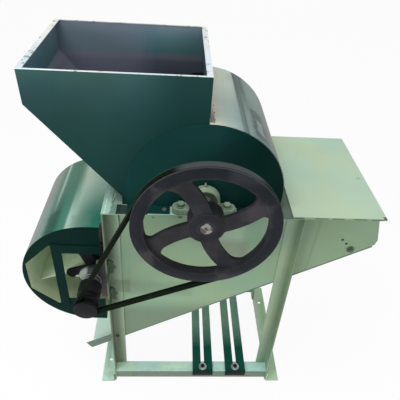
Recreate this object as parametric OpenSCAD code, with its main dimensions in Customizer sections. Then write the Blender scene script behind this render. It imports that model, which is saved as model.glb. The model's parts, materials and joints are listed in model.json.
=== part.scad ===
// Belt-driven shelling machine: a hopper over a beater drum, a winnowing fan and a sloping chute.
// X runs along the frame to the chaff outlet, Y runs back from the belt side, Z is up.
// The origin is the centre of the four anchor holes, on the floor.

/* [Frame] */
// Length over the legs at the top rails
frame_len = 539; // [500:1:620]
// Height of the top rails above the floor
frame_h = 833; // [700:1:950]
// Flange width of the leg and lower bar angles
angle_w = 40; // [30:1:45]
// Thickness of every angle flange
angle_t = 4; // [3:0.5:6]
// Outward lean of each leg, in degrees
leg_splay = 1.2; // [0:0.1:2]
// Height of the floor's bolt above the foot of the side plates' edge
tray_bolt_up = 25; // [22:0.5:28]
// Distance of the floor's bolt from the leg's outer face
tray_bolt_in = 14.5; // [12:0.5:20]
// Radius of the floor's bolts
tray_bolt_r = 3; // [2.5:0.5:3.5]
// Clear height under the lower bars
lower_bar_lift = 22; // [10:1:60]
// Flange width of the two base angles
base_w = 50; // [40:1:60]
// Diameter of the anchor holes
anchor_d = 12; // [8:0.5:16]
// Distance between an anchor hole and the outer edge of its base angle
anchor_inset = 23.5; // [15:1:30]
// Distance between the front and rear anchor holes
anchor_span = 282; // [200:1:340]
// Distance the base angles run past the rear legs
base_tail = 32; // [0:1:60]
// Distance the base angles run past the front legs
base_nose = 4; // [0:1:30]
// Thickness of the sheet metal
sheet_t = 2; // [1.5:0.5:3]

/* [Sloping floor] */
// Distance of the side plates' sloping edge below the rails' top, over the origin
chute_fall = 446.3; // [435:0.1:460]
// Slope of the floor, in degrees
chute_slope = 31.7; // [29:0.1:33]
// Distance the floor runs out past the left legs
chute_reach = 79; // [40:1:120]
// Height of the turned-up sides of the floor
chute_side_h = 34; // [20:1:45]
// Distance of the floor below the side plates' edge
chute_drop = 8; // [4:0.5:12]
// Clearance between the floor's turned-up sides and the side plates
tray_gap = 0.2; // [0.1:0.05:0.3]

/* [Outlet box] */
// Distance from the origin to the end of the box roof
box_len = 484.5; // [440:0.5:520]
// Distance the box end leans out at its foot
box_lean = 28; // [0:1:40]
// Height of the box end
box_end_h = 109; // [90:1:120]
// Radius of the rolled edge on the box roof
roll_r = 3; // [2:0.5:5]
// Thickness of the box roof
roof_t = 3; // [2:0.5:4]
// Distance from the origin to the hinge of the tailboard
tail_hinge_x = 256; // [246:1:266]
// Length of the tailboard
tail_len = 247; // [244:1:256]
// Width of the tailboard
tail_w = 320; // [280:2:326]
// Radius of the tailboard's hinge rod
tail_rod_r = 5; // [4:0.5:5.5]
// Distance from the hinge rod to the three peg holes
peg_dist = 235; // [215:1:238]
// Angle of the lowest peg hole above the sloping floor, in degrees
peg_low = 4.3; // [3.5:0.1:4.5]
// Angle of the middle peg hole, in degrees
peg_mid = 11; // [9.5:0.1:12.5]
// Angle of the highest peg hole, in degrees
peg_high = 16.3; // [15:0.1:18]
// Radius of the peg bolts
peg_r = 4; // [3:0.5:4]

/* [Drum] */
// Outside radius of the drum cover
drum_r = 207; // [195:1:215]
// Length over the drum's end plates
drum_len = 350; // [320:1:400]
// Distance of the drum shaft from the middle of the frame, to the left
shaft_offset = 4.5; // [0:0.5:20]
// Outside radius of the beaters
beater_r = 168; // [150:1:175]
// Number of beaters
beater_count = 4; // [3:1:6]
// Height of a beater bar
beater_h = 40; // [30:1:50]
// Thickness of a beater bar
beater_t = 10; // [6:1:14]
// Length of the beater bars
beater_len = 300; // [260:2:310]
// Distance between the two spiders
spider_pitch = 210; // [160:2:240]
// Width of a spider's arm
spider_arm_w = 40; // [30:1:50]
// Inner radius of the concave grate
concave_r = 190; // [184:1:192]
// Radius of the grate's bars
grate_bar_r = 4; // [3:0.5:5]
// Number of bars in the grate
grate_bars = 29; // [21:1:31]

/* [Hopper] */
// Distance from the drum shaft to the hopper's left wall
hopper_len = 415; // [360:1:450]
// Height of the hopper's rim above the drum shaft
hopper_rise = 318; // [290:1:350]
// Height of the upright part of the left wall
hopper_drop = 82; // [60:1:110]
// Height of the left wall's foot above the top rails
hopper_foot_h = 30; // [15:1:45]
// Distance of the foot outside the drum
hopper_foot_gap = 6; // [5:1:12]
// Width of the wall's foot flange on the left cross rail
hopper_flange = 23; // [15:1:30]
// Width of the rim along the left and right walls
rim_fold = 14; // [8:1:18]
// Width of the rim along the front and rear walls
rim_edge = 3; // [2.5:0.5:10]

/* [Shafts and bearings] */
// Radius of both shafts
shaft_r = 15; // [12:0.5:16]
// Height of a bearing's centre above its foot
bearing_h = 42.9; // [40:0.1:46]
// Width of a bearing block along the shaft
bearing_w = 34; // [30:1:38]
// Length of a bearing block's foot
bearing_len = 165; // [155:1:175]
// Distance between a bearing block's bolts
bearing_bolt_span = 121; // [115:1:127]
// Thickness of a bearing block's foot
bearing_foot_t = 17; // [14:1:20]
// Radius of the bearing housing
bearing_body_r = 40; // [38:0.5:41]
// Drop of the housing's crown towards its two faces
bearing_crown = 8; // [4:1:10]
// Radius of the bearing bolts
bearing_bolt_r = 6; // [5:0.5:7]
// Radial clearance of every running fit
run_gap = 0.05; // [0.02:0.01:0.09]

/* [Drive] */
// Radius of the large pulley
pulley_r = 180; // [160:1:182]
// Width of the large pulley's rim
pulley_w = 25; // [23:1:34]
// Radial depth of the rim
pulley_rim = 31; // [24:1:33]
// Thickness of the pulley's web
web_t = 11; // [8:1:14]
// Distance of the spokes' face behind the rim's face
web_set_back = 10; // [8:0.5:13]
// Width of a spoke
spoke_w = 42; // [30:1:44]
// Turn of the spokes round the shaft
spoke_turn = 8; // [0:1:15]
// Radius of the corner between the rim and a spoke's hollow side
rim_fillet = 32; // [20:1:36]
// Radius of the corner between the rim and a spoke's rounded side
rim_corner = 12; // [8:1:16]
// Radius of the corners between the hub and the spokes
hub_fillet = 12; // [6:1:16]
// Radius of the pulley's hub
hub_r = 45; // [36:1:46]
// Length of the pulley's hub
hub_len = 50; // [40:1:60]
// Distance of the hub's face behind the rim's face
hub_set_back = 6.5; // [4:0.5:9]
// Distance from the bearing blocks to the large pulley's rim
pulley_gap = 79; // [65:1:90]
// Radius of the fan's pulley
fan_pulley_r = 32.5; // [29:0.5:36]
// Length of the fan's pulley
fan_pulley_len = 90; // [80:1:96]
// Thickness of the closed face of the fan's pulley
fan_face_t = 6; // [4:0.5:8]
// Front flange of the fan's pulley, ahead of its belt groove
fan_flange_t = 9; // [6:0.5:11]
// Width of the belt's back
belt_w = 16.6; // [15:0.2:17]
// Depth of the belt
belt_t = 11; // [9:0.5:12]
// Slope of the belt's sides, in degrees
belt_side = 19; // [17:0.5:20]
// Clearance between the belt and its grooves
belt_gap = 0.4; // [0.3:0.1:0.8]

/* [Fan] */
// Distance down the leg from its top to the fan shaft
fan_drop = 260; // [250:1:270]
// Outside radius of the fan casing
fan_r = 200; // [190:1:206]
// Distance of the casing's front plate behind the leg's front edge
fan_front_inset = 13; // [10:1:16]
// Distance of the casing's rear plate ahead of the leg's rear edge
fan_rear_inset = 62; // [50:1:70]
// Distance the casing's flat sheets run in between the side plates
fan_tongue = 24; // [12:1:30]
// Distance the casing's flat sheets run past the fan shaft
fan_reach = 31; // [20:1:40]
// Width of the guard bars across the fan's intakes
guard_w = 27; // [20:1:32]
// Length of the upright guard bar
guard_len = 270; // [250:1:290]
// Thickness of the guard bars
guard_t = 3; // [2:0.5:4]
// Distance from the fan shaft to the upright guard bar
guard_x = 97; // [85:1:105]
// Half the height of the clear intake between the guard bars
intake_h = 101.5; // [90:0.5:108]
// Radius of the fan's arms
fan_arm_r = 92; // [80:1:110]
// Width of the fan's arms
fan_arm_w = 37; // [28:1:40]
// Thickness of the fan's arms
fan_arm_t = 6; // [4:1:8]
// Outer radius of the paddles
paddle_r = 182; // [160:1:184]
// Angle of the first arm, in degrees
fan_arm_turn = 21; // [0:1:40]

/* [Motor rails] */
// Width of a motor rail
motor_rail_w = 75; // [60:1:80]
// Distance between the two rails' centre lines
motor_rail_pitch = 122.5; // [100:0.5:140]
// Distance from the right legs' outer face to the right rail's centre line
motor_rail_inset = 106.5; // [95:0.5:125]
// Width of a rail's slot
motor_slot_w = 12.7; // [10:0.1:14]
// Thickness of a rail
motor_rail_t = 5; // [4:0.5:8]
// Depth of the lip over the lower bar
motor_lip_h = 27; // [20:1:34]
// Distance from a rail's end to its bolt
motor_bolt_inset = 16; // [14:1:24]

/* [Hidden] */
$fn = 48;
touch = 0.3;
frame_w = drum_len + 2 * bearing_w;
half_len = frame_len / 2;
rail_end = box_len - roll_r - touch;
chute_h = frame_h - chute_fall;
motor_rail_x = half_len - motor_rail_inset - motor_rail_pitch;
half_w = frame_w / 2;
leg_top = frame_h - angle_t;
plate_y = half_w - angle_w;
plate_in = plate_y - sheet_t;
rail_w = angle_w + sheet_t + angle_t;
rail_in = plate_in - angle_t;
lower_top = lower_bar_lift + angle_w;
splay_run = tan(leg_splay);
foot_x = half_len + leg_top * splay_run + 0.05;
anchor_x = foot_x + base_w - anchor_inset;
frame_y = (base_nose - base_tail) / 2;
end_y = drum_len / 2;
shaft_x = -shaft_offset;
shaft_z = frame_h + bearing_h;
bearing_y = half_w - bearing_w / 2;
chute_rise = tan(chute_slope);
chute_end = -foot_x - chute_reach;
box_foot_x = box_len + box_lean;
box_foot_z = frame_h - angle_t - box_end_h;
right_rail_x = shaft_x + drum_r - 8;
roof_x = right_rail_x + angle_w - 2;
hopper_left = shaft_x - hopper_len;
hopper_top = shaft_z + hopper_rise;
hopper_foot_x = shaft_x - drum_r - hopper_foot_gap;
hopper_foot_z = frame_h + hopper_foot_h;
lap = 20;
pulley_front = -half_w - pulley_gap - pulley_w;
groove_y = pulley_front + pulley_w / 2;
shaft_end = pulley_front + hub_set_back - 1;
fan_x = -half_len - fan_drop * sin(leg_splay) - bearing_h * cos(leg_splay);
fan_z = leg_top - fan_drop * cos(leg_splay) + bearing_h * sin(leg_splay);
fan_front = -half_w + fan_front_inset;
fan_rear = half_w - fan_rear_inset;
fan_pulley_front = groove_y - belt_w / 2 - fan_flange_t;
fan_bore = fan_pulley_front + fan_face_t;
belt_run = sqrt(pow(fan_x - shaft_x, 2) + pow(fan_z - shaft_z, 2));
belt_turn = atan2(fan_z - shaft_z, fan_x - shaft_x);
belt_big = pulley_r + 1;
belt_small = fan_pulley_r + 1;
belt_reach = sqrt(belt_run * belt_run - pow(belt_big - belt_small, 2));
belt_wrap = acos((belt_big - belt_small) / belt_run);
groove_depth = belt_t + 0.5;
inner_ring_r = 20;
washer_t = 2.5;
fan_arm_front = -plate_in + 8;
fan_arm_rear = fan_rear - 22;

// A flat outline in X and Z, given a thickness along Y from y0 upwards
module slab(y0, t) {
  translate([0, y0 + t, 0]) rotate([90, 0, 0]) linear_extrude(t) children();
}

// A round bar along Y
module rod_y(r, y0, y1, sides = 48) {
  translate([0, y1, 0]) rotate([90, 0, 0]) cylinder(r = r, h = y1 - y0, $fn = sides);
}

// A box given by its two corners
module block(a, b) {
  translate(a) cube(b - a);
}

// The frame's own middle, ahead of the middle of the anchor holes
module framed() {
  translate([0, frame_y, 0]) children();
}

module rear_twin() {
  mirror([0, 1, 0]) children();
}

module at_shaft() {
  translate([shaft_x, 0, shaft_z]) children();
}

// The fan's own frame: X points square into the left legs, Z runs up along them
module at_fan() {
  translate([fan_x, 0, fan_z]) rotate([0, leg_splay, 0]) children();
}

// The four bolts of the two main blocks, or with a hole's radius the holes for them
module main_bolt_places() {
  for (s = [-1, 1], e = [-1, 1])
    translate([shaft_x + s * bearing_bolt_span / 2, e * bearing_y, frame_h]) children();
}

module end_plate_bolt_places() {
  chord = sqrt(pow(drum_r - sheet_t, 2) - pow(bearing_h, 2));
  near = bearing_len / 2 + 20;
  for (s = [-1, 1], e = [-1, 1], at = [near, chord - 16])
    translate([shaft_x + s * at, e * bearing_y, frame_h]) children();
}

module front_rail() {
  color("#8aa88a") difference() {
    union() {
      block([-half_len, -half_w, frame_h - angle_t], [rail_end, -rail_in, frame_h]);
      block([-half_len + angle_t, -plate_in, frame_h - rail_w],
            [rail_end - angle_t, -rail_in, frame_h - angle_t]);
    }
    main_bolt_places() cylinder(r = bearing_bolt_r + 0.5, h = 3 * angle_t, center = true);
    end_plate_bolt_places() cylinder(r = 3.5, h = 3 * angle_t, center = true, $fn = 24);
  }
}
module front_top_rail() framed() front_rail();
module rear_top_rail() framed() rear_twin() front_rail();

module left_cross_rail() framed() color("#8aa88a") {
  block([-half_len, -rail_in, frame_h - angle_t], [hopper_foot_x + angle_t, rail_in, frame_h]);
  block([-half_len, -rail_in, frame_h - rail_w], [-half_len + angle_t, rail_in, frame_h - angle_t]);
}

module right_cross_rail() framed() color("#8aa88a") {
  block([right_rail_x, -rail_in, frame_h - angle_t], [right_rail_x + angle_w, rail_in, frame_h]);
  block([right_rail_x + angle_w - angle_t, -rail_in, frame_h - rail_w],
        [right_rail_x + angle_w, rail_in, frame_h - angle_t]);
}

// Left leg at the front: one flange lies on the side plate, the other faces out to the left
module leg() {
  color("#7d9a7d") {
    intersection() {
      leg_frame() block([0, -plate_y - angle_t, -2 * frame_h], [angle_w, -plate_y, 50]);
      block([-frame_len, -half_w, lower_top], [0, 0, leg_top]);
    }
    intersection() {
      leg_frame() block([0, -half_w, -2 * frame_h], [angle_t, -plate_y - angle_t, 50]);
      block([-frame_len, -half_w, 0], [0, 0, leg_top]);
    }
  }
}
module leg_frame() {
  translate([-half_len, 0, leg_top]) rotate([0, leg_splay, 0]) children();
}
module tray_bolt_place() {
  leg_frame() translate([tray_bolt_in, -plate_y, -tray_bolt_drop]) children();
}
module tray_bolt_hole() {
  tray_bolt_place() rod_y(tray_bolt_r + 0.5, -2 * angle_t, 20, 24);
}
module bored_leg() {
  color("#7d9a7d") difference() {
    leg();
    at_fan() for (s = [-1, 1]) translate([bearing_h - 10, -bearing_y, s * bearing_bolt_span / 2])
      rotate([0, 90, 0]) cylinder(r = bearing_bolt_r + 0.5, h = 20 + angle_t);
    tray_bolt_hole();
  }
}
module front_left_leg() framed() bored_leg();
module rear_left_leg() framed() rear_twin() bored_leg();
// Small bolts that hold the floor's sides to the left legs
module tray_bolts() framed() color("#6f8a6f") for (e = [-1, 1]) scale([1, e, 1]) tray_bolt_place() {
  nut_y = 2 * sheet_t + tray_gap;
  rod_y(tray_bolt_r, -angle_t, nut_y + 8, 24);
  rod_y(2 * tray_bolt_r, -angle_t - 4, -angle_t, 6);
  rod_y(2 * tray_bolt_r, nut_y, nut_y + 5, 6);
}
module front_right_leg() framed() mirror([1, 0, 0]) leg();
module rear_right_leg() framed() mirror([1, 0, 0]) rear_twin() leg();

module motor_bolt_places() {
  for (i = [0, 1], e = [-1, 1])
    translate([motor_rail_x + i * motor_rail_pitch, e * (half_w - motor_bolt_inset), lower_top]) children();
}

// Lower bar between two legs, with a hole for each rail bolt
module lower_bar() {
  reach = half_len + (leg_top - lower_top) * splay_run - angle_t / cos(leg_splay);
  color("#9dbfa4") difference() {
    union() {
      block([-reach, -half_w, lower_bar_lift], [reach, -half_w + angle_t, lower_top]);
      block([-reach, -half_w + angle_t, lower_top - angle_t], [reach, -half_w + angle_w, lower_top]);
    }
    motor_bolt_places() cylinder(r = peg_r + 0.5, h = 3 * angle_t, center = true, $fn = 24);
  }
}
module front_lower_bar() framed() lower_bar();
module rear_lower_bar() framed() rear_twin() lower_bar();

// Base angle: one flange on the floor, one against the feet of two legs
module base_bar() {
  front = -half_w - base_nose;
  rear = half_w + base_tail;
  color("#a5d2bd") difference() {
    framed() {
      block([-foot_x - base_w, front, 0], [-foot_x, rear, angle_t]);
      block([-foot_x - angle_t, front, angle_t], [-foot_x, rear, base_w]);
    }
    for (s = [-1, 1]) translate([-anchor_x, s * anchor_span / 2, -1]) cylinder(d = anchor_d, h = angle_t + 2);
  }
}
module left_base_bar() { base_bar(); }
module right_base_bar() { mirror([1, 0, 0]) base_bar(); }

// Height of the side plates' sloping edge at x
function edge_z(x) = chute_h + x * chute_rise;
left_foot = -(half_len + (leg_top - chute_h) * splay_run) / (1 - chute_rise * splay_run);
tray_bolt_drop = (leg_top - edge_z(left_foot) - tray_bolt_up) / cos(leg_splay);

// The tray's own frame: X runs up along the floor's underside
module at_tray() {
  translate([0, 0, chute_h - chute_drop / cos(chute_slope)]) rotate([0, -chute_slope, 0]) children();
}

tail_along = tail_hinge_x / cos(chute_slope);
tail_up = sheet_t + tail_rod_r + 3;

// The tailboard's own frame: the hinge axis is Y, X runs up along the floor
module at_tail() {
  at_tray() translate([tail_along, 0, tail_up]) children();
}
module peg_places(angles) {
  at_tail() for (a = angles) rotate([0, -a, 0]) translate([peg_dist, 0, 0]) rotate([0, a, 0]) children();
}

// Side plate under a top rail; its sloping edge runs down to the left
module side_plate() {
  color("#8ba78b") difference() {
    slab(-plate_y, sheet_t) difference() {
      polygon([[-half_len, leg_top], [box_len, leg_top], [box_foot_x, box_foot_z],
        [box_foot_x - 4, edge_z(box_foot_x - 4)], [left_foot, edge_z(left_foot)]]);
      translate([shaft_x - 133, shaft_z - 87]) circle(r = 3);
    }
    peg_places([peg_low, peg_mid, peg_high]) rod_y(peg_r + 0.5, -half_w, 0, 24);
    tray_bolt_hole();
  }
}
module front_side_plate() framed() side_plate();
module rear_side_plate() framed() rear_twin() side_plate();

// Box roof: a plate on the rails with a rolled edge over the chaff outlet
module box_roof() framed() color("#b5cfb0") {
  block([roof_x, -half_w, frame_h], [box_len, half_w, frame_h + roof_t]);
  translate([box_len, 0, frame_h + roof_t - roll_r]) rod_y(roll_r, -half_w, half_w, 24);
}

// Sloping floor with two turned-up sides; it runs out to the left under the fan
module chute_floor() framed() {
  low = chute_end / cos(chute_slope);
  high = (box_foot_x - 6) / cos(chute_slope);
  side = plate_in - tray_gap;
  color("#a9cbb0") difference() {
    at_tray() {
      block([low, -side, 0], [high, side, sheet_t]);
      for (s = [-1, 1]) scale([1, s, 1])
        block([low, -side, sheet_t], [high, -side + sheet_t, chute_side_h]);
    }
    peg_places([peg_low]) rod_y(peg_r + 0.5, -half_w, half_w, 24);
    for (e = [-1, 1]) scale([1, e, 1]) tray_bolt_hole();
  }
}

// Round end plate of the drum, cut off at the top rails, with a foot flange each side of the bearing
module end_plate() {
  chord = sqrt(pow(drum_r - sheet_t, 2) - pow(bearing_h, 2)) - 1;
  from = bearing_len / 2 + 6;
  color("#113a30") difference() {
    at_shaft() {
      slab(-end_y, sheet_t) difference() {
        intersection() {
          circle(r = drum_r - sheet_t - touch, $fn = 96);
          translate([-drum_r, -bearing_h]) square([2 * drum_r, 2 * drum_r]);
        }
        circle(r = inner_ring_r + 5);
      }
      for (s = [-1, 1]) scale([s, 1, 1])
        block([from, -half_w + 3, -bearing_h], [chord, -end_y, -bearing_h + sheet_t]);
    }
    end_plate_bolt_places() cylinder(r = 3.5, h = 20, center = true, $fn = 24);
  }
}
module front_end_plate() framed() end_plate();
module rear_end_plate() framed() rear_twin() end_plate();

module end_plate_bolts() framed() color("#5c6660") end_plate_bolt_places() {
  translate([0, 0, sheet_t]) cylinder(r = 6, h = 4.5, $fn = 6);
  translate([0, 0, -angle_t - 9]) cylinder(r = 3, h = angle_t + sheet_t + 9, $fn = 24);
  translate([0, 0, -angle_t - 5]) cylinder(r = 6, h = 5, $fn = 6);
}

// Front wall of the hopper, lapped behind the end plate
module hopper_side() {
  color("#2c524f") slab(-end_y + sheet_t, sheet_t) difference() {
    polygon([[hopper_left, hopper_top - sheet_t], [shaft_x, hopper_top - sheet_t], [shaft_x, shaft_z],
      [shaft_x - drum_r + 2 * lap, frame_h], [hopper_foot_x, frame_h], [hopper_foot_x, hopper_foot_z],
      [hopper_left, hopper_top - hopper_drop]]);
    translate([shaft_x, shaft_z]) circle(r = drum_r - lap, $fn = 96);
  }
}
module hopper_front_wall() framed() hopper_side();
module hopper_rear_wall() framed() rear_twin() hopper_side();

// Left wall: upright at the rim, slanted to the foot, then upright to a flange on the cross rail
module hopper_left_wall() framed() {
  inside = end_y - 2 * sheet_t;
  fall = hopper_top - hopper_drop - hopper_foot_z;
  lean = atan2(fall, hopper_foot_x - hopper_left);
  up = sheet_t * tan((90 - lean) / 2);
  color("#2c524f") slab(-inside, 2 * inside) polygon([[hopper_left, hopper_top - sheet_t],
    [hopper_left, hopper_top - hopper_drop], [hopper_foot_x, hopper_foot_z],
    [hopper_foot_x, frame_h + sheet_t], [hopper_foot_x - hopper_flange, frame_h + sheet_t],
    [hopper_foot_x - hopper_flange, frame_h], [hopper_foot_x + sheet_t, frame_h],
    [hopper_foot_x + sheet_t, hopper_foot_z + up], [hopper_left + sheet_t, hopper_top - hopper_drop + up],
    [hopper_left + sheet_t, hopper_top - sheet_t]]);
}

// Right wall, standing over the drum shaft with a foot on the drum cover
module hopper_right_wall() framed() {
  inside = end_y - 2 * sheet_t;
  foot_z = shaft_z + drum_r + 0.05;
  color("#2c524f") {
    block([shaft_x - sheet_t, -inside, shaft_z + drum_r - lap], [shaft_x, inside, hopper_top - sheet_t]);
    block([shaft_x, -inside, foot_z], [shaft_x + 12, inside, foot_z + sheet_t]);
  }
}

// Folded rim round the hopper's mouth
module hopper_rim() framed() color("#c9d0d2") difference() {
  block([hopper_left, -end_y + sheet_t, hopper_top - sheet_t], [shaft_x, end_y - sheet_t, hopper_top]);
  edge_y = end_y - sheet_t - rim_edge;
  block([hopper_left + rim_fold, -edge_y, hopper_top - 10], [shaft_x - rim_fold, edge_y, hopper_top + 10]);
}

// Curved sheet from the hopper's right wall down to the right cross rail
module drum_cover() framed() color("#2f6b57") at_shaft() intersection() {
  difference() {
    rod_y(drum_r, -end_y, end_y, 96);
    rod_y(drum_r - sheet_t, -end_y - 1, end_y + 1, 96);
  }
  block([0, -end_y, -bearing_h], [drum_r + 1, end_y, drum_r + 1]);
}

// Grate under the drum: round bars across two hoops that lie on the top rails
module concave_grate() framed() {
  hoop_in = concave_r - 2;
  hoop_out = concave_r + 2 * grate_bar_r + 2;
  hoop_t = 5;
  first = 14 + 180;
  sweep = 360 - 2 * 14 - 180;
  color("#6d5a4c") at_shaft() {
    for (s = [-1, 1]) scale([1, s, 1]) slab(-rail_in, hoop_t) difference() {
      circle(r = hoop_out, $fn = 96);
      circle(r = hoop_in, $fn = 96);
      translate([-drum_r, -bearing_h - angle_t]) square([2 * drum_r, 2 * drum_r]);
    }
    for (i = [0:grate_bars - 1]) rotate([0, -first - (i + 0.5) * sweep / grate_bars, 0])
      translate([concave_r + grate_bar_r, 0, 0]) rod_y(grate_bar_r, -rail_in + 2, rail_in - 2, 16);
  }
}

// Bearing block standing on its foot: X along the foot, Y along the shaft
module bearing_block() {
  shoulder = bearing_bolt_span / 2 - 14;
  side = bearing_w / 2 - 2;
  neck_w = bearing_w * 0.6;
  neck_r = bearing_body_r - 3;
  color("#8c8f92") difference() {
    union() {
      linear_extrude(bearing_foot_t) {
        square([bearing_len - bearing_w, bearing_w], center = true);
        for (s = [-1, 1]) translate([s * (bearing_len - bearing_w) / 2, 0]) circle(d = bearing_w);
      }
      translate([0, 0, bearing_h]) rotate([90, 0, 0]) rotate_extrude($fn = 64)
        polygon([[0, -side], [bearing_body_r - bearing_crown, -side], [bearing_body_r, -side / 3],
          [bearing_body_r, side / 3], [bearing_body_r - bearing_crown, side], [0, side]]);
      slab(-neck_w / 2, neck_w) polygon([[-shoulder, bearing_foot_t - 3], [shoulder, bearing_foot_t - 3],
        [neck_r * cos(22), bearing_h + neck_r * sin(22)], [-neck_r * cos(22), bearing_h + neck_r * sin(22)]]);
    }
    translate([0, 0, bearing_h]) rod_y(inner_ring_r + run_gap, -bearing_w, bearing_w);
    for (s = [-1, 1]) translate([s * bearing_bolt_span / 2, 0, -1])
      cylinder(r = bearing_bolt_r + 0.5, h = bearing_foot_t + 2);
    translate([0, 0, bearing_h + bearing_body_r - 6]) cylinder(r = 3, h = 10, $fn = 24);
  }
}
module fan_block_place() {
  at_fan() translate([bearing_h, -bearing_y, 0]) rotate([0, -90, 0]) children();
}
module front_bearing_block() framed() translate([shaft_x, -bearing_y, frame_h]) bearing_block();
module rear_bearing_block() framed() translate([shaft_x, bearing_y, frame_h]) bearing_block();
module fan_front_bearing_block() framed() fan_block_place() bearing_block();
module fan_rear_bearing_block() framed() rear_twin() fan_block_place() bearing_block();

// One bolt with its washer on top of a foot and its nut under the flange
module block_bolt() {
  translate([0, 0, bearing_foot_t]) cylinder(r = 12, h = washer_t);
  translate([0, 0, bearing_foot_t + washer_t]) cylinder(r = 10.5, h = 8, $fn = 6);
  translate([0, 0, -angle_t - 16]) cylinder(r = bearing_bolt_r, h = bearing_foot_t + angle_t + 16);
  translate([0, 0, -angle_t - 10]) cylinder(r = 10.5, h = 10, $fn = 6);
}
module bearing_bolts() framed() color("#6f7570") {
  main_bolt_places() block_bolt();
  for (e = [-1, 1], s = [-1, 1]) scale([1, e, 1]) fan_block_place()
    translate([s * bearing_bolt_span / 2, 0, 0]) block_bolt();
}

module nipple() {
  translate([0, 0, bearing_h + bearing_body_r - 6]) cylinder(r = 3, h = 7, $fn = 24);
  translate([0, 0, bearing_h + bearing_body_r + 1]) cylinder(r = 4.5, h = 4, $fn = 6);
  translate([0, 0, bearing_h + bearing_body_r + 5]) cylinder(r = 2.5, h = 5, $fn = 24);
}
module grease_nipples() framed() color("#b9a25a") {
  for (e = [-1, 1]) translate([shaft_x, e * bearing_y, frame_h]) nipple();
  for (e = [-1, 1]) scale([1, e, 1]) fan_block_place() nipple();
}

// Outline of the fan's casing: half round on the left, flat above and below
module casing_outline(r, right) {
  circle(r = r, $fn = 96);
  translate([0, -r]) square([right, 2 * r]);
}
module casing_clip(right) {
  intersection() {
    children();
    translate([-2 * fan_r, -2 * fan_r]) square([2 * fan_r + right, 4 * fan_r]);
  }
}

// Wrapped sheet of the casing; its tongues run in between the side plates
module fan_casing() framed() color("#1e6450") at_fan() {
  slab(fan_front + sheet_t, fan_rear - fan_front - 2 * sheet_t) casing_clip(fan_reach) difference() {
    casing_outline(fan_r, fan_reach);
    casing_outline(fan_r - sheet_t, fan_reach + 1);
  }
  for (s = [-1, 1]) scale([1, 1, s])
    block([fan_reach, -plate_in, fan_r - sheet_t], [bearing_h + fan_tongue, plate_in, fan_r]);
}

// Front plate with an intake on each side of the upright guard bar
module fan_front_plate() framed() color("#12392f") at_fan()
  slab(fan_front, sheet_t) casing_clip(fan_reach) difference() {
    casing_outline(fan_r, fan_reach);
    polygon([[-187, 48], [-112, 127], [-100, 127], [-100, -127], [-114, -127], [-187, -58]]);
    translate([-guard_x, -intake_h]) square([guard_x + fan_reach + 1, 2 * intake_h + 20]);
  }

// Rear plate with one round intake, open to the right for the bearing block
module fan_rear_plate() framed() color("#a9cfb9") at_fan()
  slab(fan_rear - sheet_t, sheet_t) casing_clip(fan_reach) difference() {
    casing_outline(fan_r, fan_reach);
    circle(r = intake_h);
  }

// Flat guard bars on the front plate
module fan_guard_bars() framed() color("#12392f") at_fan() {
  block([-guard_x - guard_w / 2 + 5, fan_front - guard_t, -guard_len / 2],
        [-guard_x + guard_w / 2 + 5, fan_front, guard_len / 2]);
  block([-guard_x + guard_w / 2 + 5, fan_front - guard_t, intake_h], [fan_reach, fan_front, intake_h + 31]);
}

// Cross-section of the belt at radius r of its back
module belt_section(r) {
  inner = belt_w / 2 - belt_t * tan(belt_side);
  polygon([[r - belt_t, -inner], [r, -belt_w / 2], [r, belt_w / 2], [r - belt_t, inner]]);
}

// Belt round both pulleys: two arcs joined by two straight strands
module drive_belt() framed() color("#26282b") at_shaft() translate([0, groove_y, 0])
  rotate([90, 0, 0]) rotate([0, 0, belt_turn]) {
    rotate([0, 0, belt_wrap]) rotate_extrude(angle = 360 - 2 * belt_wrap, $fn = 96) belt_section(belt_big);
    translate([belt_run, 0, 0]) rotate([0, 0, -belt_wrap])
      rotate_extrude(angle = 2 * belt_wrap, $fn = 48) belt_section(belt_small);
    for (s = [-1, 1]) scale([1, s, 1]) rotate([0, 0, belt_wrap]) rotate([90, 0, 0])
      linear_extrude(belt_reach) belt_section(belt_big);
  }

// Motor rail: two strips joined at both ends round a long slot, with a lip over the lower bar
module motor_rail() {
  y = half_w;
  color("#19503c") difference() {
    union() {
      block([-motor_rail_w / 2, -y, lower_top], [motor_rail_w / 2, y, lower_top + motor_rail_t]);
      block([-motor_rail_w / 2, -y - 4, lower_top - motor_lip_h + motor_rail_t],
            [motor_rail_w / 2, -y, lower_top + motor_rail_t]);
    }
    slot_y = y - motor_bolt_inset;
    slot_top = lower_top + 2 * motor_rail_t;
    block([-motor_slot_w / 2, -slot_y, 0], [motor_slot_w / 2, slot_y, slot_top]);
    for (s = [-1, 1]) translate([0, s * slot_y, 0]) cylinder(d = motor_slot_w, h = slot_top);
  }
}
module left_motor_rail() framed() translate([motor_rail_x, 0, 0]) motor_rail();
module right_motor_rail() framed() translate([motor_rail_x + motor_rail_pitch, 0, 0]) motor_rail();

module motor_rail_bolts() framed() color("#8f9492") motor_bolt_places() {
  translate([0, 0, motor_rail_t]) cylinder(r = 15, h = washer_t);
  translate([0, 0, motor_rail_t + washer_t]) cylinder(r = 7.5, h = 6, $fn = 6);
  translate([0, 0, -angle_t - 10]) cylinder(r = peg_r, h = angle_t + motor_rail_t + 10, $fn = 24);
  translate([0, 0, -angle_t - 7]) cylinder(r = 7.5, h = 7, $fn = 6);
}

// Peg bolts under the tailboard, one through each side plate
module tailboard_pegs() framed() color("#8f9492") for (e = [-1, 1]) scale([1, e, 1])
  peg_places([peg_low]) {
    rod_y(peg_r, -plate_y - washer_t, -plate_in + 30, 24);
    rod_y(11, -plate_y - washer_t, -plate_y, 24);
    rod_y(7.5, -plate_y - washer_t - 5.5, -plate_y - washer_t, 6);
  }

module tailboard_rod() framed() color("#8f9492") at_tail()
  rod_y(tail_rod_r, -plate_in + tray_gap + sheet_t, plate_in - tray_gap - sheet_t, 32);

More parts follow.
